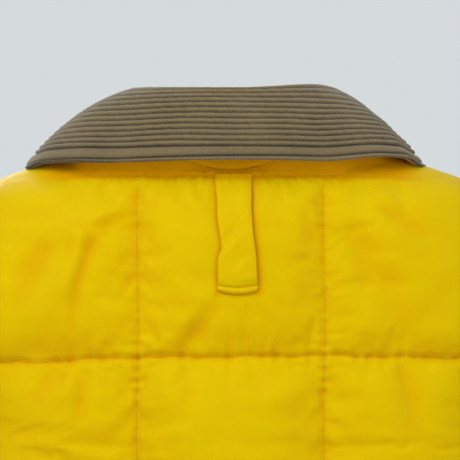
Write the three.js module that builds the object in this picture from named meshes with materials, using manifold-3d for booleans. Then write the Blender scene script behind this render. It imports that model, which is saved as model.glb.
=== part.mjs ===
// Quilted turnout coat with a corduroy collar, hanging closed as it does on a coat hanger.
// Millimetres, +Z up. The wearer faces -Y and the wearer's left is +X.
// The origin is the middle of the neck opening, level with the back neck seam, where a hanger's neck comes out.
import * as THREE from "three";
import { mergeVertices } from "three/addons/utils/BufferGeometryUtils.js";
import Module from "manifold-3d";

const wasm = await Module();
wasm.setup();

// ---------------------------------------------------------------- driving dimensions

const coat = {
  length: 770, // back neck seam to hem
  hemHalf: 278,
  waistHalf: 268,
  waistRise: 320, // waist above the hem
  underarmHalf: 274,
  underarmDrop: 252, // back neck seam to underarm
  backDepth: 108, // middle of the neck to the back surface at the hem
  sideGap: 0.4, // half the gap at the side seams
};

const neck = {
  half: 88,
  back: 62,
  front: 80,
  sideRise: 42, // the neck stands higher at the shoulders than at the back
  frontDrop: 58,
};

const shoulder = { half: 243, drop: 26 };

// The middle of the front is a straight line that leans out towards the hem.
const frontLine = { depthAtOrigin: 92, slope: 0.036 };

// Quilted cloth, from the outside in.
const cloth = { shell: 2, wadding: 7, lining: 1.5, layerGap: 0.5 };

const shoulderSlope = (neck.sideRise + shoulder.drop) / (shoulder.half - neck.half);
const leafHalf = 200; // half the collar's width across its spread edge

const collar = {
  cord: 4,
  under: 2,
  layerGap: 0.4,
  standThickness: 5,
  standGap: 1.5, // stand above the neck seam
  rollGap: 12, // top of the stand below the top of the roll
  endAngle: 82, // where the collar ends, measured from the shoulder towards the front
  rollHalf: neck.half + 8,
  rollBack: neck.back + 4,
  rollFront: neck.front + 2,
  rollSideRise: 80,
  rollBackRise: 77,
  rollFrontRise: -18,
  bendHalf: 149, // the leaf curves out towards this line between its roll and its edge
  bendBack: 84,
  bendFront: 104,
  bendSideRise: 60,
  bendBackRise: 72,
  leafHalf,
  leafBack: 88,
  leafSideRise: neck.sideRise - shoulderSlope * (leafHalf - neck.half) + 12.135, // over the shoulder
  leafBackRise: 9,
  pointHalf: 80, // the collar's front points
  pointFront: 107,
  pointDrop: 105,
};

// The part of the leaf that lifts at the back: a window in angle and in share of the leaf's depth.
const lift = { halfAngle: 40, from: 0.3, gap: 0.8 };

const hangLoop = { width: 41, length: 118, thickness: 2, gap: 6.5, tack: 12, offset: -4 };

const neckLabel = { width: 60, height: 32, thickness: 0.8, drop: 22, gap: 0.6 };

// Each front folds open about a line that runs from beside the collar point to the hem.
const frontFold = { topHalf: 85, topDrop: 100, hemHalf: 235, proud: 18, openTop: 112, gap: 1 };

const frontEdge = 5; // from the middle line to each front's edge

const zip = {
  top: 128,
  bottom: coat.length - 18,
  tapeWidth: 14,
  tapeThickness: 1.2,
  standOff: 0.8,
  tooth: 2.4,
  toothHeight: 3,
  slit: 0.3,
};

const slider = { width: 9, length: 13, plate: 1.4, clearance: 0.5, lip: 1.3 };
const pull = { width: 6, length: 24, thickness: 1.1, gap: 0.3 };

const stormFlap = {
  top: 118,
  bottom: coat.length - 12,
  seam: 45, // its sewn edge, on the left front
  reach: 40, // its free edge, past the middle line
  thickness: 4,
  standOff: 8,
  web: 5,
};

const clasp = {
  drops: [178, (coat.length - 20) / 2, coat.length - 198], // evenly down the flap
  baseLength: 32,
  baseWidth: 26,
  plate: 1.5,
  pinRadius: 1.5,
  pinLift: 5.5, // pin above the base
  bore: 0.5, // clearance round the pin
  leverWidth: 13,
  leverWall: 2.6,
  leverReach: 42,
  earGap: 0.5,
  catchBar: 3,
  catchRise: 5.2,
  noseGap: 2.5,
  seat: 0.3, // gap between a fitting and the cloth or fitting that it sits on
};

const pocket = {
  inner: 68, // from the middle line to its near edge
  width: 112,
  top: coat.length - 170,
  height: 148,
  depth: 22,
  wall: 2.5,
  turn: 8.5, // degrees, to lie along the front
  seat: 0.8,
};

const pocketFlap = { over: 4, height: 60, thickness: 4, rise: 12, clearance: 3, web: 4 };
const snap = { radius: 7, cap: 2, studRadius: 4.5, stud: 2.3, fromEdge: 16, gap: 0.3 };

// A sleeve: its outer line, its inner line and half its depth from front to back. It hangs beside the hem.
const sleeveRings = [
  { outX: 244, outZ: -24, inX: 273, inZ: -244, depth: 54 },
  { outX: 284, outZ: -43, inX: 286, inZ: -249, depth: 66 },
  { outX: 321, outZ: -88, inX: 292, inZ: -268, depth: 76 },
  { outX: 351, outZ: -163, inX: 293, inZ: -292, depth: 82 },
  { outX: coat.hemHalf + 95, outZ: -264, inX: coat.hemHalf + 15, inZ: -330, depth: 82 },
  { outX: coat.hemHalf + 109, outZ: -382, inX: coat.hemHalf + 13, inZ: -402, depth: 77 },
  { outX: coat.hemHalf + 115, outZ: -512, inX: coat.hemHalf + 17, inZ: -520, depth: 69 },
  { outX: coat.hemHalf + 113, outZ: -642, inX: coat.hemHalf + 24, inZ: -645, depth: 60 },
];

const armhole = { topHalf: 240, topDrop: 18, bottomHalf: 270, bottomDrop: 250, gap: 1.2 };

const wristlet = { thickness: 2.5, start: 5.9, end: 6.93, squeeze: 8, gap: 2.4 };
const cuffStrap = { from: -32, to: 36, top: 6.72, bottom: 6.9, thickness: 2.4, gap: 0.8 };

// ---------------------------------------------------------------- materials

const finishes = {
  shell: new THREE.MeshStandardMaterial({ color: 0xe0c000, roughness: 0.75, metalness: 0 }),
  wadding: new THREE.MeshStandardMaterial({ color: 0xece8dc, roughness: 0.95, metalness: 0 }),
  lining: new THREE.MeshStandardMaterial({ color: 0x6e6350, roughness: 0.6, metalness: 0 }),
  corduroy: new THREE.MeshStandardMaterial({ color: 0x85775a, roughness: 0.9, metalness: 0 }),
  knit: new THREE.MeshStandardMaterial({ color: 0x7a6c52, roughness: 0.95, metalness: 0 }),
  steel: new THREE.MeshStandardMaterial({ color: 0xb4b4b0, roughness: 0.35, metalness: 1 }),
  brass: new THREE.MeshStandardMaterial({ color: 0xb0913f, roughness: 0.4, metalness: 1 }),
  tape: new THREE.MeshStandardMaterial({ color: 0xd8b400, roughness: 0.85, metalness: 0 }),
  label: new THREE.MeshStandardMaterial({ color: 0xe8e4d8, roughness: 0.8, metalness: 0 }),
};

// ---------------------------------------------------------------- geometry helpers

const degrees = THREE.MathUtils.degToRad;
const mix = THREE.MathUtils.lerp;

function signedPower(value, power) {
  return Math.sign(value) * Math.abs(value) ** power;
}

// A smooth value between stations, for each of their named values. t counts stations.
function betweenStations(stations, t) {
  const last = stations.length - 1;
  const i = Math.min(Math.max(Math.floor(t), 0), last - 1);
  const f = t - i;
  const before = stations[Math.max(i - 1, 0)];
  const after = stations[Math.min(i + 2, last)];
  const value = {};
  for (const key of Object.keys(stations[0])) {
    const [a, b, c, d] = [before[key], stations[i][key], stations[i + 1][key], after[key]];
    value[key] =
      b + 0.5 * f * (c - a + f * (2 * a - 5 * b + 4 * c - d + f * (3 * (b - c) + d - a)));
  }
  return value;
}

// The outward normal of a surface whose u runs anticlockwise seen from above and whose v runs down or outwards.
function normalAt(surface, u, v) {
  const step = 0.002;
  const along = surface(u + step, v).sub(surface(u - step, v));
  const down = surface(u, v + step).sub(surface(u, v - step));
  return down.cross(along).normalize();
}

// A closed sheet of cloth between two depths under a surface. Negative depths stand proud of it.
function clothSheet(surface, columns, rows, near, far, tube = false) {
  const points = [];
  for (const depth of [near, far]) {
    for (let j = 0; j <= rows; j++) {
      for (let i = 0; i <= columns; i++) {
        const [u, v] = [i / columns, j / rows];
        points.push(surface(u, v).addScaledVector(normalAt(surface, u, v), -depth));
      }
    }
  }
  const at = (layer, i, j) => (layer * (rows + 1) + j) * (columns + 1) + i;
  const faces = [];
  const quad = (a, b, c, d) => faces.push(a, b, c, a, c, d);
  for (let j = 0; j < rows; j++) {
    for (let i = 0; i < columns; i++) {
      quad(at(0, i, j), at(0, i, j + 1), at(0, i + 1, j + 1), at(0, i + 1, j));
      quad(at(1, i, j), at(1, i + 1, j), at(1, i + 1, j + 1), at(1, i, j + 1));
    }
    if (!tube) {
      quad(at(0, 0, j), at(1, 0, j), at(1, 0, j + 1), at(0, 0, j + 1));
      quad(at(0, columns, j), at(0, columns, j + 1), at(1, columns, j + 1), at(1, columns, j));
    }
  }
  for (let i = 0; i < columns; i++) {
    quad(at(0, i, 0), at(0, i + 1, 0), at(1, i + 1, 0), at(1, i, 0));
    quad(at(0, i, rows), at(1, i, rows), at(1, i + 1, rows), at(0, i + 1, rows));
  }
  const geometry = new THREE.BufferGeometry().setFromPoints(points);
  geometry.setIndex(faces);
  return geometry;
}

// A surface over part of another surface's range.
function within(surface, u0, u1, v0, v1) {
  return (u, v) => surface(mix(u0, u1, u), mix(v0, v1, v));
}

function mirrored(geometry) {
  const copy = geometry.clone().scale(-1, 1, 1);
  if (!copy.index) copy.setIndex([...Array(copy.attributes.position.count).keys()]);
  const index = copy.index.array;
  for (let i = 0; i < index.length; i += 3) {
    [index[i + 1], index[i + 2]] = [index[i + 2], index[i + 1]];
  }
  return copy;
}

function toSolid(geometry) {
  const bare = geometry.clone();
  bare.deleteAttribute("normal");
  bare.deleteAttribute("uv");
  const merged = mergeVertices(bare, 1e-4);
  return new wasm.Manifold(
    new wasm.Mesh({
      numProp: 3,
      vertProperties: merged.attributes.position.array,
      triVerts: new Uint32Array(merged.index.array),
    }),
  );
}

function fromSolid(solid) {
  const mesh = solid.getMesh();
  const geometry = new THREE.BufferGeometry();
  geometry.setAttribute("position", new THREE.BufferAttribute(mesh.vertProperties, 3));
  geometry.setIndex(new THREE.BufferAttribute(mesh.triVerts, 1));
  return geometry;
}

const cut = (geometry, tool) => fromSolid(toSolid(geometry).subtract(toSolid(tool)));
const keep = (geometry, tool) => fromSolid(toSolid(geometry).intersect(toSolid(tool)));
const join = (...geometries) => fromSolid(geometries.map(toSolid).reduce((a, b) => a.add(b)));

function box(x0, x1, y0, y1, z0, z1) {
  return new THREE.BoxGeometry(x1 - x0, y1 - y0, z1 - z0).translate(
    (x0 + x1) / 2,
    (y0 + y1) / 2,
    (z0 + z1) / 2,
  );
}

// An outline drawn in X and Y, made solid between two heights.
function prism(outline, z0, z1, holes = []) {
  const shape = new THREE.Shape(outline.map(([x, y]) => new THREE.Vector2(x, y)));
  shape.holes.push(...holes);
  return new THREE.ExtrudeGeometry(shape, { depth: z1 - z0, bevelEnabled: false }).translate(0, 0, z0);
}

// An outline drawn in X and Z, made solid between two values of Y.
function slab(outline, y0, y1) {
  return prism(outline.map(([x, z]) => [x, -z]), 0, y1 - y0)
    .rotateX(-Math.PI / 2)
    .translate(0, y0, 0);
}

function rod(radius, length, sides = 16) {
  return new THREE.CylinderGeometry(radius, radius, length, sides).rotateX(Math.PI / 2);
}

// ---------------------------------------------------------------- the body's surface

const frontDepth = (z) => frontLine.depthAtOrigin - frontLine.slope * z;

// Each station is a ring round the coat: half its width, its depth behind and in front, the height of
// its sides, back and front, and how square it is.
function ring(half, back, side, backZ, frontZ, power) {
  return { half, back, front: frontDepth(frontZ), side, backZ, frontZ, power };
}

const hemZ = -coat.length;
const waistZ = hemZ + coat.waistRise;
const bodyRings = [
  { ...ring(neck.half, neck.back, neck.sideRise, 0, -neck.frontDrop, 2), front: neck.front },
  ring(mix(neck.half, shoulder.half, 0.5), 76, mix(neck.sideRise, -shoulder.drop, 0.48), -28, -95, 2.1),
  ring(shoulder.half, 84, -shoulder.drop, -75, -140, 2.3),
  ring(shoulder.half + 40, 90, -105, -160, -205, 2.5),
  ring(coat.underarmHalf + 4, 94, -coat.underarmDrop, -270, -290, 2.5),
  ring(coat.waistHalf, 98, waistZ, waistZ, waistZ - 5, 2.5),
  ring(mix(coat.waistHalf, coat.hemHalf, 0.5), 103, hemZ + 160, hemZ + 160, hemZ + 160, 2.5),
  ring(coat.hemHalf, coat.backDepth, hemZ, hemZ, hemZ, 2.5),
];

// A point of the body's surface at an angle in degrees, 0 at the left side and 90 at the back, t stations down.
function bodyPoint(angle, t) {
  const r = betweenStations(bodyRings, t);
  const [c, s] = [Math.cos(degrees(angle)), Math.sin(degrees(angle))];
  const depth = s > 0 ? r.back : r.front;
  const turn = s > 0 ? r.backZ : r.frontZ;
  return new THREE.Vector3(
    r.half * signedPower(c, 2 / r.power),
    depth * signedPower(s, 2 / r.power),
    mix(r.side, turn, s * s),
  );
}

// The angle at which a ring of the front is x from the middle line.
function frontAngle(x, t) {
  const r = betweenStations(bodyRings, t);
  return -THREE.MathUtils.radToDeg(Math.acos((x / r.half) ** (r.power / 2)));
}

const lastRing = bodyRings.length - 1;

const backSurface = (u, v) => bodyPoint(u * 180, v * lastRing).add(new THREE.Vector3(0, coat.sideGap, 0));

function frontSurface(u, v) {
  const t = v * lastRing;
  return bodyPoint(mix(frontAngle(frontEdge, t), 0, u), t).add(new THREE.Vector3(0, -coat.sideGap, 0));
}

// The three layers of quilted cloth: [name, finish, near depth, far depth].
const waddingTop = cloth.shell + cloth.layerGap;
const liningTop = waddingTop + cloth.wadding + cloth.layerGap;
const layers = [
  ["shell", finishes.shell, 0, cloth.shell],
  ["wadding", finishes.wadding, waddingTop, waddingTop + cloth.wadding],
  ["lining", finishes.lining, liningTop, liningTop + cloth.lining],
];
const clothDepth = liningTop + cloth.lining;

// ---------------------------------------------------------------- cutting tools

// The space of the left sleeve's head, outside a slanted plane.
function armholeTool() {
  const reach = 120;
  const side = [
    [armhole.topHalf - 6, -armhole.topDrop + 60],
    [armhole.topHalf, -armhole.topDrop],
    [armhole.bottomHalf, -armhole.bottomDrop],
    [armhole.bottomHalf + reach, -armhole.bottomDrop - 10],
    [armhole.bottomHalf + reach, -armhole.topDrop + 60],
  ];
  return slab(side, -200, 200);
}

// The body's side of that plane and a gap, which the sleeve's cloth stays out of.
function armholeBodyTool() {
  const [top, bottom] = [armhole.topHalf + armhole.gap, armhole.bottomHalf + armhole.gap];
  const side = [
    [top - 40, 60],
    [top, -armhole.topDrop + 40],
    [top, -armhole.topDrop],
    [bottom, -armhole.bottomDrop],
    [bottom, -armhole.bottomDrop - 60],
    [top - 40, -armhole.bottomDrop - 60],
  ];
  return slab(side, -200, 200);
}

// Where the left front folds, at a height.
function foldX(z) {
  const share = (-z - frontFold.topDrop) / (coat.length - frontFold.topDrop);
  return mix(frontFold.topHalf, frontFold.hemHalf, share);
}

// The part of the left front that opens, held clear of the rest by a gap.
function openingTool(gap) {
  const [top, bottom] = [-frontFold.openTop - gap, hemZ - 50];
  const side = [
    [-20, top],
    [-20, bottom],
    [foldX(bottom) - gap, bottom],
    [foldX(top) - gap, top],
  ];
  return slab(side, -300, -10);
}

// ---------------------------------------------------------------- collar

// The angle from the shoulder, less than 0 towards the front, and the side it is on.
function collarTurn(u) {
  const angle = mix(-collar.endAngle, 180 + collar.endAngle, u);
  return angle > 90 ? [180 - angle, -1] : [angle, 1];
}

// A point on one of the collar's lines round the neck, from its places at the side, back and front end.
function collarLine(turn, side, halfWidth, back, front, endHalf, rise, backRise, endRise) {
  const angle = turn >= 0 ? degrees(turn) : degrees((-turn / collar.endAngle) * 90);
  const [c, s] = [Math.cos(angle), Math.sin(angle)];
  if (turn >= 0) {
    return new THREE.Vector3(side * halfWidth * c, back * s, mix(rise, backRise, s * s));
  }
  return new THREE.Vector3(side * mix(endHalf, halfWidth, c), -front * s, mix(rise, endRise, s * s));
}

function rollLine(turn, side) {
  const c = collar;
  return collarLine(turn, side, c.rollHalf, c.rollBack, c.rollFront, 13, c.rollSideRise, c.rollBackRise, c.rollFrontRise);
}

function leafSurface(u, v) {
  const [turn, side] = collarTurn(u);
  const c = collar;
  const roll = rollLine(turn, side);
  const bend = collarLine(turn, side, c.bendHalf, c.bendBack, c.bendFront, 48, c.bendSideRise, c.bendBackRise, -28);
  const edge = collarLine(
    turn, side, c.leafHalf, c.leafBack, c.pointFront, c.pointHalf, c.leafSideRise, c.leafBackRise, -c.pointDrop,
  );
  return roll
    .multiplyScalar((1 - v) ** 2)
    .addScaledVector(bend, 2 * v * (1 - v))
    .addScaledVector(edge, v * v);
}

// A point above the neck seam.
function neckLine(turn, side, rise) {
  const [c, s] = [Math.cos(degrees(turn)), Math.sin(degrees(turn))];
  const [depth, height] = turn >= 0 ? [neck.back, 0] : [neck.front, -neck.frontDrop];
  return new THREE.Vector3(side * neck.half * c, depth * s, mix(neck.sideRise, height, s * s) + rise);
}

function standSurface(u, v) {
  const [turn, side] = collarTurn(u);
  const inset = 4;
  const top = collarLine(
    turn, side, collar.rollHalf - inset, collar.rollBack - inset, collar.rollFront - inset, 13,
    collar.rollSideRise - collar.rollGap, collar.rollBackRise - collar.rollGap, collar.rollFrontRise - collar.rollGap,
  );
  return top.lerp(neckLine(turn, side, collar.standGap), v);
}

// The window of the leaf that lifts, grown by a share of its angle and depth.
function liftedPart(grow, end) {
  const share = (angle) => (angle + collar.endAngle) / (180 + 2 * collar.endAngle);
  const half = lift.halfAngle + grow;
  return within(leafSurface, share(90 - half), share(90 + half), lift.from - grow / 60, end);
}

function collarLeaves() {
  const underTop = collar.cord + collar.layerGap;
  const window = clothSheet(liftedPart(lift.gap, 1.25), 10, 3, -6, underTop + collar.under + 8);
  const leaves = [
    ["corduroy", finishes.corduroy, 0, collar.cord],
    ["under", finishes.shell, underTop, underTop + collar.under],
  ];
  return leaves.map(([name, finish, near, far]) => ({
    name,
    finish,
    still: cut(clothSheet(leafSurface, 34, 4, near, far), window),
    lifting: clothSheet(liftedPart(0, 1), 10, 3, near, far),
  }));
}

// ---------------------------------------------------------------- sleeves

// A point of the left sleeve's surface: an angle in degrees, 0 on the outer line, t rings down.
function sleevePoint(angle, t, shrink = 0) {
  const r = betweenStations(sleeveRings, t);
  const outer = new THREE.Vector3(r.outX, 0, r.outZ);
  const inner = new THREE.Vector3(r.inX, 0, r.inZ);
  const centre = outer.clone().add(inner).multiplyScalar(0.5);
  const across = outer.sub(centre);
  across.setLength(across.length() - shrink);
  const [c, s] = [Math.cos(degrees(angle)), Math.sin(degrees(angle))];
  return centre.addScaledVector(across, c).add(new THREE.Vector3(0, (r.depth - shrink) * s, 0));
}

const sleeveEnd = sleeveRings.length - 1;
const sleeveSurface = (u, v) => sleevePoint(u * 360, v * sleeveEnd);

// A knitted cuff inside the sleeve, which narrows to the wrist.
function wristletSurface(u, v) {
  const t = mix(wristlet.start, wristlet.end, v);
  return sleevePoint(u * 360, t, clothDepth + wristlet.gap + wristlet.squeeze * v);
}

const cuffStrapSurface = (u, v) =>
  sleevePoint(mix(cuffStrap.from, cuffStrap.to, u), mix(cuffStrap.top, cuffStrap.bottom, v));

// ---------------------------------------------------------------- the hang loop and neck label

// The middle of the back at a height, and how far the cloth there leans.
function backMiddle(z) {
  let [low, high] = [0, lastRing];
  for (let i = 0; i < 40; i++) {
    const t = (low + high) / 2;
    if (bodyPoint(90, t).z > z) low = t;
    else high = t;
  }
  return bodyPoint(90, low);
}

// A strap tacked down at both ends, which stands off the back between them so that a hook goes behind it.
function hangLoopSurface(u, v) {
  const z = -2 - v * hangLoop.length;
  const share = Math.min(v, 1 - v) * (hangLoop.length / (2 * hangLoop.tack));
  const rise = mix(1, hangLoop.gap, THREE.MathUtils.smoothstep(share, 0.25, 1));
  const x = hangLoop.offset + mix(hangLoop.width / 2, -hangLoop.width / 2, u);
  const y = backMiddle(z).y + coat.sideGap + rise + hangLoop.thickness;
  return new THREE.Vector3(x, y, z);
}

function labelSurface(u, v) {
  const z = -neckLabel.drop - v * neckLabel.height;
  const x = mix(neckLabel.width / 2, -neckLabel.width / 2, u);
  return new THREE.Vector3(x, backMiddle(z).y - clothDepth - neckLabel.gap - 4, z);
}

// ---------------------------------------------------------------- the front closure, drawn flat
// X is as on the coat, Z runs up the leaning middle line, and -Y stands off the cloth.

const closure = new THREE.Group();
closure.position.set(0, -frontLine.depthAtOrigin - coat.sideGap, 0);
closure.rotation.x = -Math.atan(frontLine.slope);

const tapeFace = zip.standOff + zip.tapeThickness;
const toothFace = zip.standOff + zip.toothHeight;

function zipSide() {
  const profile = [
    [zip.slit, -toothFace],
    [zip.slit + zip.tooth, -toothFace],
    [zip.slit + zip.tooth, -tapeFace],
    [zip.tapeWidth, -tapeFace],
    [zip.tapeWidth, -zip.standOff],
    [zip.slit, -zip.standOff],
  ];
  return prism(profile.reverse(), -zip.bottom, -zip.top);
}

const sliderFace = toothFace + slider.clearance + slider.plate;
const sliderTop = -zip.top - 1;

function sliderShape() {
  const half = slider.width / 2;
  const inner = zip.slit + zip.tooth + slider.clearance;
  const plate = box(-half, half, -sliderFace, -sliderFace + slider.plate, sliderTop - slider.length, sliderTop);
  const lip = box(
    inner, inner + slider.lip, -sliderFace + 0.2, -tapeFace - slider.clearance, sliderTop - slider.length, sliderTop,
  );
  return join(plate, lip);
}

function pullShape() {
  const half = pull.width / 2;
  const face = sliderFace + pull.gap;
  const top = sliderTop - slider.length / 2;
  return box(-half, half, -face - pull.thickness, -face, top - pull.length, top);
}

const flapFace = stormFlap.standOff + stormFlap.thickness;

function stormFlapShape() {
  const { seam, reach, standOff, web } = stormFlap;
  const profile = [
    [seam, -flapFace],
    [seam, -1],
    [seam - web, -1],
    [seam - web, -standOff],
    [-reach, -standOff],
    [-reach, -flapFace],
  ];
  return prism(profile.reverse(), -stormFlap.bottom, -stormFlap.top);
}

const baseFace = flapFace + clasp.seat + clasp.plate;
const pin = { x: -stormFlap.reach + 12, y: -baseFace - clasp.pinLift };
const barX = -stormFlap.reach - 17;
const barFace = clasp.seat + clasp.plate + clasp.catchRise + clasp.catchBar;

// The plate that is riveted to the storm flap, with two ears for the pin.
function claspBase(z) {
  const [left, right] = [pin.x - 6, pin.x - 6 + clasp.baseLength];
  const half = clasp.baseWidth / 2;
  const plate = box(left, right, -baseFace, -baseFace + clasp.plate, z - half, z + half);
  const earInner = clasp.leverWidth / 2 + clasp.earGap;
  const ear = (side) =>
    join(
      box(pin.x - 4, pin.x + 4, pin.y, -baseFace + 0.5, z + side * earInner - 1.2 + 1.2 * side, z + side * earInner + 1.2 + 1.2 * side),
      rod(4, 2.4).translate(pin.x, pin.y, z + side * (earInner + 1.2)),
    );
  const pinSpace = rod(clasp.pinRadius + 0.3, clasp.baseWidth + 4).translate(pin.x, pin.y, z);
  return cut(join(plate, ear(1), ear(-1)), pinSpace);
}

function claspPin(z) {
  return rod(clasp.pinRadius, clasp.leverWidth + 2 * clasp.earGap + 4.8).translate(pin.x, pin.y, z);
}

// A lever that turns on the pin and hooks over the catch's bar.
function claspLever(z) {
  const wall = clasp.leverWall;
  const top = pin.y - wall / 2;
  const noseX = barX - clasp.catchBar / 2 - clasp.noseGap;
  const noseY = -barFace + clasp.catchBar + 0.5;
  const arm = [
    [pin.x, top - wall / 2],
    [pin.x, pin.y],
    [barX + 4, Math.min(pin.y, -barFace - 1)],
    [noseX, -barFace - 1],
    [noseX, noseY],
    [noseX - wall, noseY],
    [noseX - wall, -barFace - 1 - wall],
    [barX, pin.y - wall],
  ];
  const half = clasp.leverWidth / 2;
  const lever = join(
    prism(arm, z - half, z + half),
    rod(3.6, clasp.leverWidth).translate(pin.x, pin.y, z),
  );
  return cut(lever, rod(clasp.pinRadius + clasp.bore, clasp.leverWidth + 4).translate(pin.x, pin.y, z));
}

// The plate on the right front, with a raised bar.
function claspCatch(z) {
  const half = clasp.baseWidth / 2;
  const plateFace = clasp.seat + clasp.plate;
  const bar = clasp.catchBar;
  const plate = box(barX - 14, barX + 6, -plateFace, -clasp.seat, z - half, z + half);
  const post = (side) =>
    box(barX - bar / 2, barX + bar / 2, -barFace, -plateFace + 0.5, z + side * 9.5 - bar / 2, z + side * 9.5 + bar / 2);
  const rail = box(barX - bar / 2, barX + bar / 2, -barFace, -barFace + bar, z - 11, z + 11);
  return join(plate, post(1), post(-1), rail);
}

// ---------------------------------------------------------------- pockets, on the left front and mirrored

// Drawn flat with X across the pocket from its near edge, Z up, and -Y off the cloth.
const pocketPlace = new THREE.Matrix4();
{
  const mid = pocket.inner + pocket.width / 2;
  const midZ = -pocket.top - pocket.height / 2;
  const bulge = frontDepth(midZ) * (1 - (mid / coat.hemHalf) ** 2.5) ** 0.4;
  pocketPlace
    .makeTranslation(mid, -bulge - coat.sideGap - pocket.seat, 0)
    .multiply(new THREE.Matrix4().makeRotationZ(degrees(pocket.turn)))
    .multiply(new THREE.Matrix4().makeTranslation(-pocket.width / 2, 0, 0));
}

// Cloth of the front, thickened outwards, which seats the pocket on the curved front.
const seatTool = clothSheet(frontSurface, 10, 14, -pocket.seat, 40);

function pocketShape() {
  const { width, height, depth, wall, top } = pocket;
  const outer = box(0, width, -depth, 12, -top - height, -top);
  const inner = box(wall, width - wall, -depth + wall, 14, -top - height + wall, -top + 5);
  const tray = cut(outer, inner).applyMatrix4(pocketPlace);
  return cut(tray, seatTool);
}

const flapTop = -pocket.top + pocketFlap.rise;
const pocketFlapFace = pocket.depth + pocketFlap.clearance + pocketFlap.thickness;

function pocketFlapShape() {
  const { over, height, thickness, web } = pocketFlap;
  const [x0, x1] = [-over, pocket.width + over];
  const front = box(x0, x1, -pocketFlapFace, -pocketFlapFace + thickness, flapTop - height, flapTop);
  const root = box(x0, x1, -pocketFlapFace + 0.5, -1, flapTop - web, flapTop);
  return join(front, root).applyMatrix4(pocketPlace);
}

const snapHeight = flapTop - pocketFlap.height + snap.fromEdge;

function disc(radius, thickness, face) {
  return new THREE.CylinderGeometry(radius, radius, thickness, 20)
    .translate(0, 0, 0)
    .translate(pocket.width / 2, -face - thickness / 2, snapHeight)
    .applyMatrix4(pocketPlace);
}

const snapCap = () => disc(snap.radius, snap.cap, pocketFlapFace + snap.gap);
const snapStud = () => disc(snap.studRadius, snap.stud, pocket.depth + snap.gap);

// ---------------------------------------------------------------- assembly

const turnoutCoat = new THREE.Group();

function add(name, geometry, finish, parent = turnoutCoat) {
  const mesh = new THREE.Mesh(geometry, finish);
  mesh.name = name;
  parent.add(mesh);
  return mesh;
}

// The same piece on the wearer's left and, mirrored, on the right.
function addPair(name, geometry, finish) {
  add(`left_${name}`, geometry, finish);
  add(`right_${name}`, mirrored(geometry), finish);
}

// Cloth of the body. The back is one panel, and each front is cut where it folds open.
for (const [name, finish, near, far] of layers) {
  const sleeveHead = armholeTool();
  const back = clothSheet(backSurface, 14, 12, near, far);
  const halfCut = cut(back, sleeveHead);
  add(`back_${name}`, cut(halfCut, mirrored(sleeveHead)), finish);
  const front = cut(clothSheet(frontSurface, 7, 12, near, far), sleeveHead);
  addPair(`chest_${name}`, cut(front, openingTool(0)), finish);
  addPair(`front_${name}`, keep(front, openingTool(frontFold.gap)), finish);
  const sleeve = clothSheet(sleeveSurface, 12, 9, near, far, true);
  addPair(`sleeve_${name}`, cut(sleeve, armholeBodyTool()), finish);
}

addPair("wristlet", clothSheet(wristletSurface, 12, 3, 0, wristlet.thickness, true), finishes.knit);
addPair(
  "cuff_strap",
  clothSheet(cuffStrapSurface, 4, 1, -cuffStrap.gap - cuffStrap.thickness, -cuffStrap.gap),
  finishes.shell,
);

add("collar_stand", clothSheet(standSurface, 30, 2, 0, collar.standThickness), finishes.shell);
for (const leaf of collarLeaves()) {
  add(`collar_${leaf.name}`, leaf.still, leaf.finish);
  add(`collar_back_${leaf.name}`, leaf.lifting, leaf.finish);
}

add("hang_loop", clothSheet(hangLoopSurface, 1, 12, 0, hangLoop.thickness), finishes.shell);
add("neck_label", clothSheet(labelSurface, 1, 1, 0, neckLabel.thickness), finishes.label);

addPair("pocket", pocketShape(), finishes.shell);
addPair("pocket_flap", pocketFlapShape(), finishes.shell);
addPair("pocket_snap_cap", snapCap(), finishes.steel);
addPair("pocket_snap_stud", snapStud(), finishes.steel);

turnoutCoat.add(closure);
add("left_zip_tape", zipSide(), finishes.tape, closure);
add("right_zip_tape", mirrored(zipSide()), finishes.tape, closure);
add("zip_slider", sliderShape(), finishes.brass, closure);
add("zip_pull", pullShape(), finishes.brass, closure);
add("storm_flap", stormFlapShape(), finishes.shell, closure);
clasp.drops.forEach((drop, i) => {
  const number = i + 1;
  add(`clasp_${number}_base`, claspBase(-drop), finishes.steel, closure);
  add(`clasp_${number}_pin`, claspPin(-drop), finishes.steel, closure);
  add(`clasp_${number}_lever`, claspLever(-drop), finishes.steel, closure);
  add(`clasp_${number}_catch`, claspCatch(-drop), finishes.steel, closure);
});

export default turnoutCoat;
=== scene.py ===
import math

import bmesh
import bpy
import numpy as np
from mathutils import Matrix, Vector


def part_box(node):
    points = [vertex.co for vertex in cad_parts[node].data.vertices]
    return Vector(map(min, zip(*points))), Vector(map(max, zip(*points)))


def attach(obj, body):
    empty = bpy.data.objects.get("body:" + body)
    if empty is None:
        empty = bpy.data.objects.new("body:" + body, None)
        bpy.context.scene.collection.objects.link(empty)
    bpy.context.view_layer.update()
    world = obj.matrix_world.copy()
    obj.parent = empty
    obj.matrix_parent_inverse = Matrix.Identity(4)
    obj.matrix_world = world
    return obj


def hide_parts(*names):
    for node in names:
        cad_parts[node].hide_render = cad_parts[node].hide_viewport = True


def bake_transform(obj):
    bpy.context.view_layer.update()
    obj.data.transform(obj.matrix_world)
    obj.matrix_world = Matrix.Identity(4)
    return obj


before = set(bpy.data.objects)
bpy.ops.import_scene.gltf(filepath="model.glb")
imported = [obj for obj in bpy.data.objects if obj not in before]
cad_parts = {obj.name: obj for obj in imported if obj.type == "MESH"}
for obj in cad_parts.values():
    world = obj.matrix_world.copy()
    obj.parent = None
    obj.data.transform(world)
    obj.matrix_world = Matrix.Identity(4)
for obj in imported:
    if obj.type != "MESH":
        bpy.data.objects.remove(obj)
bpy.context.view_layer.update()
print("frame loaded")

mm = 0.001


# small maths

def mix(a, b, share):
    return a + (b - a) * share


def smooth(low, high, x):
    t = np.clip((x - low) / (high - low), 0, 1)
    return t * t * (3 - 2 * t)


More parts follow.
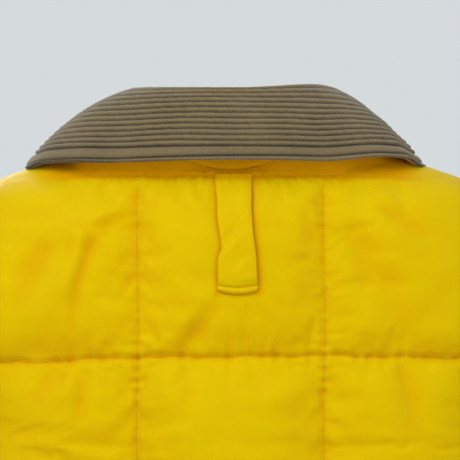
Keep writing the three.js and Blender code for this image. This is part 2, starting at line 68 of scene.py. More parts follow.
# 1 at no gap, falling smoothly to 0 on both sides
def bell(gap, wide):
    return np.exp(-((gap / wide) ** 2))


def signedPower(value, power):
    return np.sign(value) * np.abs(value) ** power


# a smooth row of values between stations, where t counts stations
def betweenStations(stations, t):
    last = len(stations) - 1
    i = np.clip(np.floor(t).astype(int), 0, last - 1)
    f = (t - i)[..., None]
    a, b = stations[np.maximum(i - 1, 0)], stations[i]
    c, d = stations[i + 1], stations[np.minimum(i + 2, last)]
    return b + 0.5 * f * (c - a + f * (2 * a - 5 * b + 4 * c - d + f * (3 * (b - c) + d - a)))


# outward normals of a grid whose columns run anticlockwise from above and whose rows run down
def gridNormals(points):
    across = np.gradient(points, axis=1)
    down = np.gradient(points, axis=0)
    normal = np.cross(down, across)
    return normal / np.maximum(np.linalg.norm(normal, axis=-1, keepdims=True), 1e-9)


# how far each point of a line or a grid is from the first one, along one of its axes
def runLength(points, axis=0):
    step = np.linalg.norm(np.diff(points, axis=axis), axis=-1)
    return np.concatenate([0 * step.take([0], axis), np.cumsum(step, axis=axis)], axis=axis)


# a repeatable smooth random surface: the sum of a few waves, about 1 high
def waves(x, y, size, seed, count=9):
    rng = np.random.default_rng(seed)
    total = np.zeros(np.broadcast(x, y).shape)
    for _ in range(count):
        angle, phase = rng.uniform(0, 2 * math.pi, 2)
        k = 2 * math.pi / (size * rng.uniform(0.7, 1.6))
        total += np.sin(k * (x * math.cos(angle) + y * math.sin(angle)) + phase)
    return total / math.sqrt(count)


# signed distance to a smooth path, and how far along it the nearest place is, from 0 to 1
def nearPath(x, y, path, steps=28):
    stations = np.array(path, float)
    t = np.linspace(0, len(path) - 1, steps)
    line = betweenStations(stations, t)
    best = np.full(x.shape, 1e9)
    side = np.ones(x.shape)
    along = np.zeros(x.shape)
    for k in range(steps - 1):
        (ax, ay), (bx, by) = line[k], line[k + 1]
        dx, dy = bx - ax, by - ay
        share = np.clip(((x - ax) * dx + (y - ay) * dy) / (dx * dx + dy * dy), 0, 1)
        gap = np.hypot(x - ax - share * dx, y - ay - share * dy)
        closer = gap < best
        best = np.where(closer, gap, best)
        side = np.where(closer, np.sign(dx * (y - ay) - dy * (x - ax)), side)
        along = np.where(closer, (k + share) / (steps - 1), along)
    return best * side, along


# meshes

def newMesh(name, points, faces, uv=None, marks=None):
    mesh = bpy.data.meshes.new(name)
    mesh.from_pydata(np.asarray(points).reshape(-1, 3).tolist(), [], faces)
    piece = bpy.data.objects.new(name, mesh)
    bpy.context.scene.collection.objects.link(piece)
    for key, values in (marks or {}).items():
        layer = mesh.attributes.new(key, "FLOAT", "POINT")
        layer.data.foreach_set("value", np.asarray(values, np.float32).ravel())
    if uv is not None:
        loops = np.zeros(len(mesh.loops), np.int32)
        mesh.loops.foreach_get("vertex_index", loops)
        layer = mesh.uv_layers.new(name="cloth")
        layer.data.foreach_set("uv", np.asarray(uv, np.float32).reshape(-1, 2)[loops].ravel())
    mesh.shade_smooth()
    return piece


def gridFaces(rows, columns, closed=False):
    wide = columns if closed else columns - 1
    j, i = np.meshgrid(np.arange(rows - 1), np.arange(wide), indexing="ij")
    k = (i + 1) % columns
    faces = np.stack([j * columns + i, (j + 1) * columns + i, (j + 1) * columns + k, j * columns + k], -1)
    return faces.reshape(-1, 4).tolist()


# one layer of cloth from a grid of points, facing out
def clothGrid(name, points, closed=False, uv=None, marks=None):
    rows, columns = points.shape[:2]
    return newMesh(name, points, gridFaces(rows, columns, closed), uv, marks)


def onlySelect(piece):
    bpy.ops.object.select_all(action="DESELECT")
    piece.select_set(True)
    bpy.context.view_layer.objects.active = piece


def applyModifier(piece, kind, **settings):
    onlySelect(piece)
    modifier = piece.modifiers.new(kind.lower(), kind)
    for key, value in settings.items():
        setattr(modifier, key, value)
    bpy.ops.object.modifier_apply(modifier=modifier.name)


# gives one layer of cloth its thickness, inwards
def thicken(piece, thickness):
    applyModifier(piece, "SOLIDIFY", thickness=thickness, offset=-1, use_rim=True, use_even_offset=False)
    piece.data.shade_smooth()


def edgesSharp(piece, degrees=40):
    onlySelect(piece)
    bpy.ops.object.shade_smooth_by_angle(angle=math.radians(degrees))


clothCut = {
    "frames": 18, "cap": 0.012, "mass": 0.2, "stretch": 12, "shear": 5, "bending": 0.4,
    "quiltPressure": 2.2, "quiltGrowth": 0.022, "sleevePressure": 2.0, "sleeveGrowth": 0.02,
}


# settles cloth under a pressure from inside, held where pins are 1, and gives how far each point moved
def settle(points, pins, pressure, growth, closed=False):
    piece = clothGrid("settling", points, closed)
    group = piece.vertex_groups.new(name="sewn")
    for index, weight in enumerate(pins.ravel()):
        if weight > 0.02:
            group.add([index], float(weight), "REPLACE")
    modifier = piece.modifiers.new("cloth", "CLOTH")
    cloth = modifier.settings
    cloth.quality = 5
    cloth.mass = clothCut["mass"]
    cloth.tension_stiffness = cloth.compression_stiffness = clothCut["stretch"]
    cloth.shear_stiffness = clothCut["shear"]
    cloth.bending_stiffness = clothCut["bending"]
    cloth.vertex_group_mass = "sewn"
    cloth.shrink_min = -growth
    cloth.use_pressure = True
    cloth.uniform_pressure_force = pressure
    cloth.effector_weights.gravity = 0
    modifier.collision_settings.use_self_collision = False
    scene = bpy.context.scene
    for step in range(1, clothCut["frames"] + 1):
        scene.frame_set(step)
    held = piece.evaluated_get(bpy.context.evaluated_depsgraph_get())
    found = np.zeros(points.size)
    held.data.vertices.foreach_get("co", found)
    scene.frame_set(1)
    bpy.data.objects.remove(piece)
    moved = found.reshape(points.shape) - points
    length = np.linalg.norm(moved, axis=-1, keepdims=True)
    return moved * np.minimum(1, clothCut["cap"] / np.maximum(length, 1e-9))


# a coarse grid's values at a finer grid's places, both given as row and column positions
def refine(values, rowsFrom, columnsFrom, rowsTo, columnsTo):
    middle = np.stack([
        np.stack([np.interp(columnsTo, columnsFrom, row[:, k]) for row in values])
        for k in range(values.shape[-1])
    ], -1)
    return np.stack([
        np.stack([np.interp(rowsTo, rowsFrom, middle[:, i, k]) for i in range(middle.shape[1])], 1)
        for k in range(values.shape[-1])
    ], -1)


# small thread stitches laid on a surface: each is a low rounded bar from one point to the next
def stitches(name, places, normals, across, size, material, body, slot="shell"):
    points, faces = [], []
    outline = [(-0.5, -0.3), (-0.5, 0.3), (-0.2, 0.8), (0.2, 0.8), (0.5, 0.3), (0.5, -0.3)]
    for (start, end), normal, side in zip(places, normals, across):
        base = len(points)
        for share, grow in ((0, 0.35), (0.2, 1), (0.8, 1), (1, 0.35)):
            centre = mix(start, end, share)
            for a, b in outline:
                points.append(centre + side * a * size * grow + normal * b * size * grow)
        wide = len(outline)
        for ring in range(3):
            for k in range(wide):
                a, b = base + ring * wide + k, base + ring * wide + (k + 1) % wide
                faces.append([a, b, b + wide, a + wide])
        faces.append([base + k for k in range(wide)][::-1])
        faces.append([base + 3 * wide + k for k in range(wide)])
    piece = newMesh(name, points, faces)
    work = bmesh.new()
    work.from_mesh(piece.data)
    bmesh.ops.recalc_face_normals(work, faces=work.faces)
    work.to_mesh(piece.data)
    work.free()
    finishPiece(piece, material, body, slot)
    return piece


def finishPiece(piece, material, body, slot, *nodes):
    piece.data.materials.clear()
    piece.data.materials.append(material)
    if nodes:
        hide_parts(*nodes)
    if isinstance(body, str):
        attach(piece, body)
    else:
        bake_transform(piece)
    return piece


# materials

class Wire:
    def __init__(self, finish, socket):
        self.finish, self.socket = finish, socket

    def maths(self, operation, *others):
        return self.finish.node("ShaderNodeMath", {"operation": operation}, [self, *others])

    def __add__(self, other):
        return self.maths("ADD", other)

    def __sub__(self, other):
        return self.maths("SUBTRACT", other)

    def __rsub__(self, other):
        return self.finish.node("ShaderNodeMath", {"operation": "SUBTRACT"}, [other, self])

    def __mul__(self, other):
        return self.maths("MULTIPLY", other)

    __radd__, __rmul__ = __add__, __mul__


class Finish:
    def __init__(self, name, roughness=0.7, **fixed):
        self.material = bpy.data.materials.new(name)
        self.material.use_nodes = True
        self.tree = self.material.node_tree
        self.shader = self.tree.nodes["Principled BSDF"]
        self.shader.inputs["Roughness"].default_value = roughness
        for key, value in fixed.items():
            self.shader.inputs[key].default_value = value

    # makes a node: its settings first, then its sockets by place or name
    def node(self, kind, settings=None, sockets=None, out=0):
        made = self.tree.nodes.new(kind)
        for key, value in (settings or {}).items():
            if key == "stops":
                ramp = made.color_ramp
                while len(ramp.elements) < len(value):
                    ramp.elements.new(0.5)
                for element, (place, colour) in zip(ramp.elements, value):
                    element.position = place
                    element.color = (*colour, 1)
            else:
                setattr(made, key, value)
        pairs = sockets.items() if isinstance(sockets, dict) else enumerate(sockets or [])
        for key, value in pairs:
            if isinstance(value, Wire):
                self.tree.links.new(value.socket, made.inputs[key])
            else:
                made.inputs[key].default_value = value
        return Wire(self, made.outputs[out])

    def feed(self, key, wire):
        self.tree.links.new(wire.socket, self.shader.inputs[key])

    def place(self, kind="Object"):
        return self.node("ShaderNodeTexCoord", out=kind)

    def mark(self, name):
        return self.node("ShaderNodeAttribute", {"attribute_name": name}, out="Fac")

    def noise(self, at, scale, detail=3.0, rough=0.5):
        return self.node("ShaderNodeTexNoise", None,
                         {"Vector": at, "Scale": scale, "Detail": detail, "Roughness": rough})

    def ramp(self, wire, *stops):
        return self.node("ShaderNodeValToRGB", {"stops": stops}, [wire])

    def blendColours(self, share, first, second):
        colour = lambda c: c if isinstance(c, Wire) else (*c, 1)
        sockets = {"Factor": share, 6: colour(first), 7: colour(second)}
        return self.node("ShaderNodeMix", {"data_type": "RGBA"}, sockets, out=2)

    def bump(self, height, distance, strength=1.0, under=None):
        sockets = {"Height": height, "Distance": distance, "Strength": strength}
        if under:
            sockets["Normal"] = under
        return self.node("ShaderNodeBump", None, sockets)

    def stretch(self, at, scale):
        return self.node("ShaderNodeMapping", None, {"Vector": at, "Scale": scale})


# crossed threads, from the cloth's own map in metres
def weave(finish, pitch):
    at = finish.place("UV")
    sockets = {"Vector": at, "Scale": 0.314 / pitch, "Distortion": 0.8, "Detail": 1.0, "Detail Scale": 1.5}
    return (finish.node("ShaderNodeTexWave", {"bands_direction": "X"}, sockets)
            * finish.node("ShaderNodeTexWave", {"bands_direction": "Y"}, sockets))


# smooth woven nylon: dyed unevenly, with painted shade in its folds and hollows, crinkled, with fine crossed
# threads
def nylonFinish(name, bright, deep, hollow):
    f = Finish(name, roughness=0.55)
    f.shader.inputs["Sheen Weight"].default_value = 0.03
    f.shader.inputs["Sheen Roughness"].default_value = 0.4
    f.shader.inputs["Sheen Tint"].default_value = (1, 0.72, 0.05, 1)
    f.shader.inputs["Specular IOR Level"].default_value = 0.22
    f.shader.inputs["Specular Tint"].default_value = (1, 0.78, 0.02, 1)
    at = f.place()
    patch = f.noise(at, 9, 4)
    colour = f.blendColours(f.ramp(patch, (0.3, (0, 0, 0)), (0.7, (1, 1, 1))), deep, bright)
    # painted shade: the colour moves towards a deep orange where the mark is high, in folds, beside seams and
    # under other parts
    colour = f.blendColours(f.mark("hollow"), colour, hollow)
    speck = f.noise(at, 900, 2)
    f.feed("Base Color", f.blendColours(speck * 0.14, colour, tuple(0.8 * c for c in deep)))
    f.feed("Roughness", patch * 0.18 + 0.46)
    crinkle = f.bump(f.noise(at, 55, 5, 0.55), 0.0016, 0.5)
    threads = f.bump(weave(f, 0.0007), 0.00016, 0.35, crinkle)
    f.feed("Normal", f.bump(f.noise(at, 520, 3), 0.0003, 0.4, threads))
    return f.material


def corduroyFinish(name, top, grooveShade):
    f = Finish(name, roughness=0.92)
    f.shader.inputs["Sheen Weight"].default_value = 0.35
    f.shader.inputs["Sheen Roughness"].default_value = 0.45
    f.shader.inputs["Specular IOR Level"].default_value = 0.15
    at = f.place()
    pile = f.noise(f.stretch(at, (1, 1, 2.0)), 520, 4, 0.7)
    patch = f.noise(at, 22, 4)
    wale = f.mark("wale")
    height = wale * 0.74 + (pile - 0.5) * 0.85 + (patch - 0.5) * 0.25
    crownHighlight = tuple(1.2 * c for c in top)
    # colour from each wale's height: painted shade in the grooves and a painted highlight on the crowns, with
    # random tone from the pile and patches
    colour = f.ramp(height, (0.06, grooveShade), (0.42, mixColour(grooveShade, top, 0.62)), (0.72, top), (0.97, crownHighlight))
    worn = f.blendColours(patch * 0.35, colour, tuple(min(1, 1.35 * c) for c in top))
    f.feed("Base Color", worn)
    f.feed("Roughness", pile * 0.12 + 0.84)
    first = f.bump(pile, 0.0014, 0.9)
    f.feed("Normal", f.bump(f.noise(at, 2400, 2), 0.0003, 0.5, first))
    return f.material


def mixColour(a, b, share):
    return tuple(mix(x, y, share) for x, y in zip(a, b))


def liningFinish(name, bright, deep):
    f = Finish(name, roughness=0.42)
    f.shader.inputs["Sheen Weight"].default_value = 0.2
    at = f.place()
    patch = f.noise(at, 14, 4)
    f.feed("Base Color", f.blendColours(patch, deep, bright))
    f.feed("Roughness", patch * 0.2 + 0.32)
    f.feed("Normal", f.bump(f.noise(at, 75, 5), 0.0018, 0.5))
    return f.material


def threadFinish(name, bright, deep):
    f = Finish(name, roughness=0.7)
    f.shader.inputs["Specular IOR Level"].default_value = 0.2
    at = f.place()
    twist = f.noise(at, 1800, 2)
    f.feed("Base Color", f.blendColours(twist, deep, bright))
    f.feed("Normal", f.bump(twist, 0.0003, 0.6))
    return f.material


def knitFinish(name, bright, deep):
    f = Finish(name, roughness=0.9)
    f.shader.inputs["Sheen Weight"].default_value = 0.3
    at = f.place()
    rib = f.mark("wale")
    loops = f.noise(f.stretch(at, (1, 1, 0.45)), 900, 3)
    height = rib + (loops - 0.5) * 0.5
    # colour from the rib's height: painted shade in the grooves, with random tone from the knitted loops
    f.feed("Base Color", f.ramp(height, (0.1, deep), (0.85, bright)))
    f.feed("Roughness", loops * 0.1 + 0.85)
    f.feed("Normal", f.bump(loops, 0.0008, 0.7))
    return f.material


def metalFinish(name, bright, deep, roughness):
    f = Finish(name, roughness=roughness, Metallic=1.0)
    at = f.place()
    brushed = f.noise(f.stretch(at, (1, 1, 14)), 420, 3)
    worn = f.noise(at, 160, 5, 0.6)
    colour = f.blendColours(f.ramp(worn, (0.35, (0, 0, 0)), (0.7, (1, 1, 1))), deep, bright)
    f.feed("Base Color", colour)
    f.feed("Roughness", brushed * 0.22 + worn * 0.12 + (roughness - 0.15))
    f.feed("Normal", f.bump(brushed, 0.0001, 0.35))
    return f.material


# the yellow nylon's own bright and deep tones, and a deep orange used for painted shade
yellow = {"bright": (0.57, 0.405, 0.0005), "deep": (0.545, 0.372, 0.0004), "hollow": (0.56, 0.25, 0.0003)}
yellowCloth = nylonFinish("yellowNylon", **yellow)
yellowThread = threadFinish("yellowThread", (0.52, 0.30, 0.0005), (0.47, 0.235, 0.0004))
# the corduroy's own colour, and the dark of painted shade in its grooves
corduroyCloth = corduroyFinish("corduroy", top=(0.168, 0.128, 0.062), grooveShade=(0.02, 0.012, 0.005))
liningCloth = liningFinish("lining", (0.16, 0.125, 0.085), (0.10, 0.078, 0.05))
knitCloth = knitFinish("ribKnit", (0.23, 0.18, 0.115), (0.06, 0.043, 0.022))
tapeCloth = threadFinish("zipTape", (0.54, 0.36, 0.003), (0.42, 0.25, 0.002))
labelCloth = threadFinish("labelCloth", (0.8, 0.77, 0.69), (0.66, 0.63, 0.55))
steelMetal = metalFinish("steel", (0.62, 0.62, 0.6), (0.42, 0.41, 0.39), 0.34)
brassMetal = metalFinish("brass", (0.6, 0.42, 0.15), (0.36, 0.24, 0.09), 0.36)
print("materials made")

# the body's surface: rings round the coat, scaled to the frame's back

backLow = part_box("back_shell")[0]
coatCut = {
    "length": -backLow.z / mm, "frontSlope": 0.036, "frontDepth": 92.0, "sideGap": 0.12, "hemSeam": 24.0,
}
# half width, back depth, side height, back height, front height, squareness
ringTable = np.array([
    [88.0, 62, 42, 0, -58, 2.0],
    [165.5, 76, 14.0, -28, -95, 2.1],
    [243.0, 84, -21.5, -75, -140, 2.3],
    [283.0, 90, -105, -160, -205, 2.5],
    [278.0, 94, -252, -270, -290, 2.5],
    [268.0, 98, -450, -450, -455, 2.5],
    [273.0, 103, -610, -610, -610, 2.5],
    [278.0, 108, -770, -770, -770, 2.5],
])
frontDepths = coatCut["frontDepth"] - coatCut["frontSlope"] * ringTable[:, 4]
frontDepths[0] = 80
bodyRings = np.column_stack([ringTable, frontDepths])
lastRing = len(bodyRings) - 1


# points in millimetres at angles in degrees, 0 at the left side, 90 at the back and -90 at the front
def bodyPoints(angle, t):
    angle, t = np.broadcast_arrays(np.asarray(angle, float), np.asarray(t, float))
    half, back, side, backZ, frontZ, power, front = np.moveaxis(betweenStations(bodyRings, t), -1, 0)
    c, s = np.cos(np.radians(angle)), np.sin(np.radians(angle))
    depth = np.where(s > 0, back, front)
    height = np.where(s > 0, backZ, frontZ)
    gap = np.where(s >= 0, coatCut["sideGap"], -coatCut["sideGap"])
    return np.stack([
        half * signedPower(c, 2 / power), depth * signedPower(s, 2 / power) + gap,
        side + (height - side) * s * s,
    ], -1)


armhole = {"topHalf": 240.0, "topDrop": 18.0, "bottomHalf": 270.0, "bottomDrop": 250.0, "round": 34.0}


def armholePlane(z):
    a = armhole
    share = (-z - a["topDrop"]) / (a["bottomDrop"] - a["topDrop"])
    return mix(a["topHalf"], a["bottomHalf"], share)


# the angle at which each row of the back or front meets the armhole, 0 where it doesn't
def armholeAngle(t, facing):
    low, high = np.zeros_like(t), np.full_like(t, 80.0)
    for _ in range(30):
        middle = (low + high) / 2
        p = bodyPoints(facing * middle, t)
        outside = p[..., 0] > armholePlane(p[..., 2])
        low, high = np.where(outside, middle, low), np.where(outside, high, middle)
    angle = (low + high) / 2
    z = bodyPoints(facing * angle, t)[..., 2]
    fade = smooth(-armhole["bottomDrop"], -armhole["bottomDrop"] + armhole["round"], z)
    return angle * np.sqrt(fade)


# the rows of a panel: their places as t, close together near the top
def panelRows(heights, spacing):
    z = [0.0]
    while z[-1] > heights[-1]:
        z.append(z[-1] - np.interp(-z[-1], *spacing))
    z = np.array(z[:-1] + [heights[-1]])
    return np.interp(-z, -np.array(heights), np.arange(len(heights)))


# folds that hang in the cloth: a path in X and Z, its depth, its width, and how much of it is a step
def addFolds(x, z, folds):
    total = np.zeros(x.shape)
    for fold in folds:
        gap, along = nearPath(x, z, fold["path"])
        ends = np.sin(np.pi * np.clip(along, 0.02, 0.98))
        reach = bell(gap, fold["wide"])
        step = 1.6 * (gap / fold["wide"]) * reach
        total += fold["deep"] * ends * mix(-reach, step, fold.get("step", 0.6))
    return softened(total, 6)


# each value drawn towards its neighbours, a number of times
def softened(values, times):
    for _ in range(times):
        wide = np.pad(values, 1, mode="edge")
        values = (wide[:-2, 1:-1] + wide[2:, 1:-1] + wide[1:-1, :-2] + wide[1:-1, 2:] + 2 * values) / 6
    return values


quilting = {
    "pitch": 180.0, "firstSide": 90.0, "puff": 4.2, "puffWide": 20.0, "sideSeam": 1.0, "downSeam": 2.3,
    "seamWide": 2.3, "pucker": 0.8, "puckerSize": 7.5, "padding": 9.5, "edge": 14.0,
    "sagAt": [-198, -90, 0, 97, 200], "sag": [2.0, -1.0, 0.6, 1.0, 7.0],
}


def seamSag(across):
    sag = np.interp(across, quilting["sagAt"], quilting["sag"])
    return sag + 0.8 * np.sin(across / 12.3) + 0.45 * np.sin(across / 4.9 + 1)


# distance to the nearest quilting seam in each direction, in millimetres
def quiltGaps(across, z):
    q = quilting
    half = q["pitch"] / 2
    sideways = np.abs((across + 0.7 * np.sin(z / 31) - q["firstSide"] + half) % q["pitch"] - half)
    fall = -z - seamSag(across)
    return sideways, np.where(fall < half, half, np.abs((fall + half) % q["pitch"] - half))


# how far quilted cloth stands off its base: padding between the seams, and puckers beside them
def quiltHeight(across, z, seed=3):
    q = quilting
    sideways, down = quiltGaps(across, z)
    full = (1 - np.exp(-sideways / q["puffWide"])) * (1 - np.exp(-down / q["puffWide"]))
    seam = -q["sideSeam"] * bell(sideways, q["seamWide"])
    seam = seam - q["downSeam"] * bell(down, q["seamWide"])
    alongSide = 0.8 * waves(z, sideways * 0.4, q["puckerSize"], seed) * np.exp(-sideways / 7.0)
    alongDown = waves(across, down * 0.4, q["puckerSize"] * 1.7, seed + 1) * np.exp(-down / 10.0)
    loose = 0.8 * waves(across, z, 130, seed + 2) + 0.42 * waves(across, z * 1.3, 42, seed + 3)
    drawn = waves(z + 0.5 * sideways, sideways * 0.6, 24, seed + 4)
    drawn = drawn * np.exp(-sideways / 18) * smooth(0, 5, sideways)
    return q["puff"] * full + seam + q["pucker"] * (alongSide + 1.3 * alongDown + 0.8 * drawn) + loose


# painted shade in the folds and beside the seams, from how far the cloth lies under its own surroundings
def paintedCreaseShade(height, reach=5):
    under = np.clip((softened(height, 4 * reach) - height) / 1.8, 0, 1)
    return 0.55 * softened(under, 1) ** 0.8


# painted shade where folds turn the cloth down or to the side, away from its base
def paintedSlopeShade(points, normal):
    turned = gridNormals(points) - normal
    shade = 0.8 * np.clip(-turned[..., 2], 0, 1) + 0.4 * np.abs(turned[..., 0]) - 0.04
    return softened(np.clip(shade, 0, 0.45), 6)


# a quilted panel from its base surface: the outer skin, still open behind
def quiltedSkin(name, base, across, down, height, slack=0.5, every=2, extraShade=0.0, padding=quilting["padding"]):
    normal = gridNormals(base)
    coarse = base[::every, ::every]
    sideways, fall = quiltGaps(across[::every, ::every], down[::every, ::every])
    pins = np.clip(1.4 - np.minimum(sideways, fall) / 4.5, 0, 1)
    pins[[0, -1]] = 1
    pins[:, [0, -1]] = 1
    pins = np.maximum(pins, smooth(-14, -4, down[::every, ::every]))
    moved = settle(coarse * mm, pins, clothCut["quiltPressure"], clothCut["quiltGrowth"]) / mm
    rows, columns = np.arange(base.shape[0]), np.arange(base.shape[1])
    moved = refine(moved, rows[::every], columns[::every], rows, columns)
    points = base + normal * height[..., None] + slack * moved
    # painted shade: in the folds and beside the seams, on cloth turned down or aside, and any further shade
    # given
    hollow = np.clip(paintedCreaseShade(height) + paintedSlopeShade(points, normal) + extraShade, 0, 1)
    piece = clothGrid(name, points * mm, uv=np.stack([across, down], -1) * mm, marks={"hollow": hollow})
    rememberInside(piece, base - normal * padding)
    return piece


# keeps where the padding's inner side goes, through any cutting
def rememberInside(piece, inside):
    layer = piece.data.attributes.new("inside", "FLOAT_VECTOR", "POINT")
    layer.data.foreach_set("vector", (np.asarray(inside) * mm).astype(np.float32).ravel())


# closes a quilted skin with a smooth inner side
def addPadding(piece):
    thicken(piece, quilting["padding"] * mm)
    count = len(piece.data.vertices)
    inside, place = np.zeros(count * 3), np.zeros(count * 3)
    piece.data.attributes["inside"].data.foreach_get("vector", inside)
    piece.data.vertices.foreach_get("co", place)
    half = count // 2 * 3
    place[half:] = inside[half:]
    piece.data.vertices.foreach_set("co", place)
    piece.data.attributes.remove(piece.data.attributes["inside"])
    piece.data.update()


# a fall to 0 over a distance from the grid's sides, measured along the cloth
def edgeShare(points, wide, sides="lr"):
    across, down = runLength(points, 1), runLength(points)
    share = np.ones(points.shape[:2])
    for side, gap in (("l", across), ("r", across[:, -1:] - across), ("t", down), ("b", down[-1:] - down)):
        if side in sides:
            share = share * smooth(-1, wide, gap)
    return share


# the quilted back

backCut = {
    "spacing": 2.4, "sideSpacing": 6.0,
    "rowSpacing": ([0, 30, 45, 255, 300, 360, 800], [1.6, 1.6, 2.3, 2.3, 3, 6, 7]), "yokeDrop": -4.5,
    "yokeRise": 1.5, "bandRoll": 8.5, "bandRises": (13.0, 10.0, 7.5, 5.2, 3.4, 1.8), "bandOut": 1.4,
    "bandThickness": 1.2,
}
backFolds = [
    {"path": [(90, -38), (112, -46), (128, -56), (137, -70), (142, -88), (149, -110), (154, -135),
              (160, -174)],
     "deep": 5.6, "wide": 7.0, "step": 1.0},
    {"path": [(205, -148), (190, -122), (172, -98), (160, -88)], "deep": 5.5, "wide": 16, "step": 0.9},
    {"path": [(205, -60), (176, -46), (140, -30)], "deep": 2.4, "wide": 12, "step": 0.7},
    {"path": [(190, -232), (166, -208), (150, -184)], "deep": 5.0, "wide": 11, "step": 0.9},
    {"path": [(150, -186), (146, -214), (150, -250)], "deep": 4.0, "wide": 8, "step": 0.8},
    {"path": [(14, -122), (26, -140), (44, -162), (52, -176)], "deep": 4.0, "wide": 10, "step": 0.8},
    {"path": [(-30, -122), (-44, -131), (-60, -142)], "deep": 2.4, "wide": 7, "step": 0.7},
    {"path": [(52, -184), (46, -214), (52, -252)], "deep": 2.4, "wide": 14, "step": 0.8},
    {"path": [(-104, -56), (-128, -72), (-152, -112), (-178, -168)], "deep": 3.6, "wide": 19, "step": -0.8},
    {"path": [(-112, -114), (-150, -113), (-200, -115)], "deep": 2.0, "wide": 6, "step": 0.7},
    {"path": [(-118, -84), (-124, -112), (-112, -138)], "deep": 2.4, "wide": 9, "step": 0.5},
    {"path": [(-160, -182), (-176, -214), (-184, -262)], "deep": 3.0, "wide": 15, "step": -0.8},
    {"path": [(70, -60), (84, -54), (100, -40)], "deep": 2.4, "wide": 9, "step": 0.7},
    {"path": [(85, -49), (75, -36), (65, -23)], "deep": 2.2, "wide": 6, "step": 0.8},
    {"path": [(89, -78), (100, -84), (114, -95)], "deep": 2.8, "wide": 4.5, "step": 0.8},
    {"path": [(92, -100), (102, -112), (111, -127)], "deep": 2.6, "wide": 5, "step": 0.8},
    {"path": [(200, -107), (184, -93), (166, -76)], "deep": 4.4, "wide": 9, "step": 0.9},
    {"path": [(-140, -34), (-170, -52), (-196, -68)], "deep": 2.8, "wide": 6, "step": -0.8},
    {"path": [(-128, -81), (-165, -86), (-198, -95)], "deep": 2.8, "wide": 6, "step": 0.8},
    {"path": [(-92, -59), (-104, -57), (-114, -55)], "deep": 2.0, "wide": 4, "step": 0.7},
]


# shares of a half ring's angle that give even steps of cloth, with wider steps towards the sides
def evenShares(t, spacing, sideSpacing, near):
    angle = np.linspace(0, 180, 1441)
    line = bodyPoints(angle, np.full_like(angle, t))
    step = np.linalg.norm(np.diff(line, axis=0), axis=1)
    cost = step / np.where(np.abs(line[1:, 0]) < near, spacing, sideSpacing)
    length = np.concatenate([[0], np.cumsum(cost)])
    return np.interp(np.linspace(0, length[-1], int(length[-1]) + 1), length, angle) / 180


backT = panelRows([0, -28, -75, -160, -270, -450, -610, -770], backCut["rowSpacing"])
backColumns = evenShares(4.2, backCut["spacing"], backCut["sideSpacing"], 215)
armholeStart = armholeAngle(backT, 1)
backBase = bodyPoints(armholeStart[:, None] + (180 - 2 * armholeStart[:, None]) * backColumns, backT[:, None])


# the neck band stands up from the neck seam, outside the collar's stand
def neckBand(neck):
    out = np.stack([neck[:, 0] / ringTable[0, 0] ** 2, neck[:, 1] / ringTable[0, 1] ** 2, 0 * neck[:, 0]], -1)
    out = out / np.linalg.norm(out, axis=1, keepdims=True)
    rises = np.array(backCut["bandRises"])[:, None, None]
    return neck + backCut["bandOut"] * smooth(0, 4, rises) * out + rises * np.array([0, 0, 1])


backBase = np.concatenate([neckBand(backBase[0]), backBase])


# length of cloth from the middle line of the back, signed like X
def acrossOf(points):
    length = runLength(points, 1)
    middle = np.argmin(np.abs(points[..., 0]), axis=1)
    across = length[np.arange(len(points)), middle][:, None] - length
    x = points[..., 0]
    return np.where(np.abs(x) < 150, x, np.sign(x) * (150 + np.abs(across) - np.minimum(np.abs(across), 150)))


# the neck band's lower edge: a seam across the top of the back, with small gathers under it
def yokeLine(x):
    return backCut["yokeDrop"] + 11.5 * smooth(-100, -136, x) + 3 * smooth(110, 150, x)


def yokeHeight(x, z):
    line = yokeLine(x)
    reach = smooth(158, 140, np.abs(x))
    roll = backCut["bandRoll"] * smooth(10, 55, np.abs(x))
    roll = roll * smooth(0, 12, z - line) * smooth(34, 14, z - line)
    band = backCut["yokeRise"] * smooth(-1.4, 0.4, z - line) + roll
    under = np.clip(line - z, 0, None)
    gathers = waves(x, under * 0.3, 9.0, 41) * np.exp(-under / 9.0) * smooth(0, 2, under)
    tucks = sum(-1.6 * bell(x - place - 0.25 * (z + 4), 2.0) for place in (24.5, -31.5, -60.0, 71.0))
    stitched = -0.9 * bell(line - z - 1.6, 1.2)
    return reach * (band + 0.75 * gathers + stitched + tucks * smooth(-9, 2, z - line)
                    * smooth(14, 2, z - line))


# the hang loop's own sizes, which the back's painted shadow beside the loop also follows
loopCut = {
    "top": -4.0, "bottom": -120.0, "thickness": 1.9, "rise": 3.3, "edgeDrops": [4, 46, 72, 78, 84, 120],
    "leftEdge": [15.6, 13.0, 9.8, 9.6, 12.2, 13.8], "rightDrops": [4, 37, 57, 85, 120],
    "rightEdge": [-21.5, -20.0, -21.9, -24.6, -27.4],
}


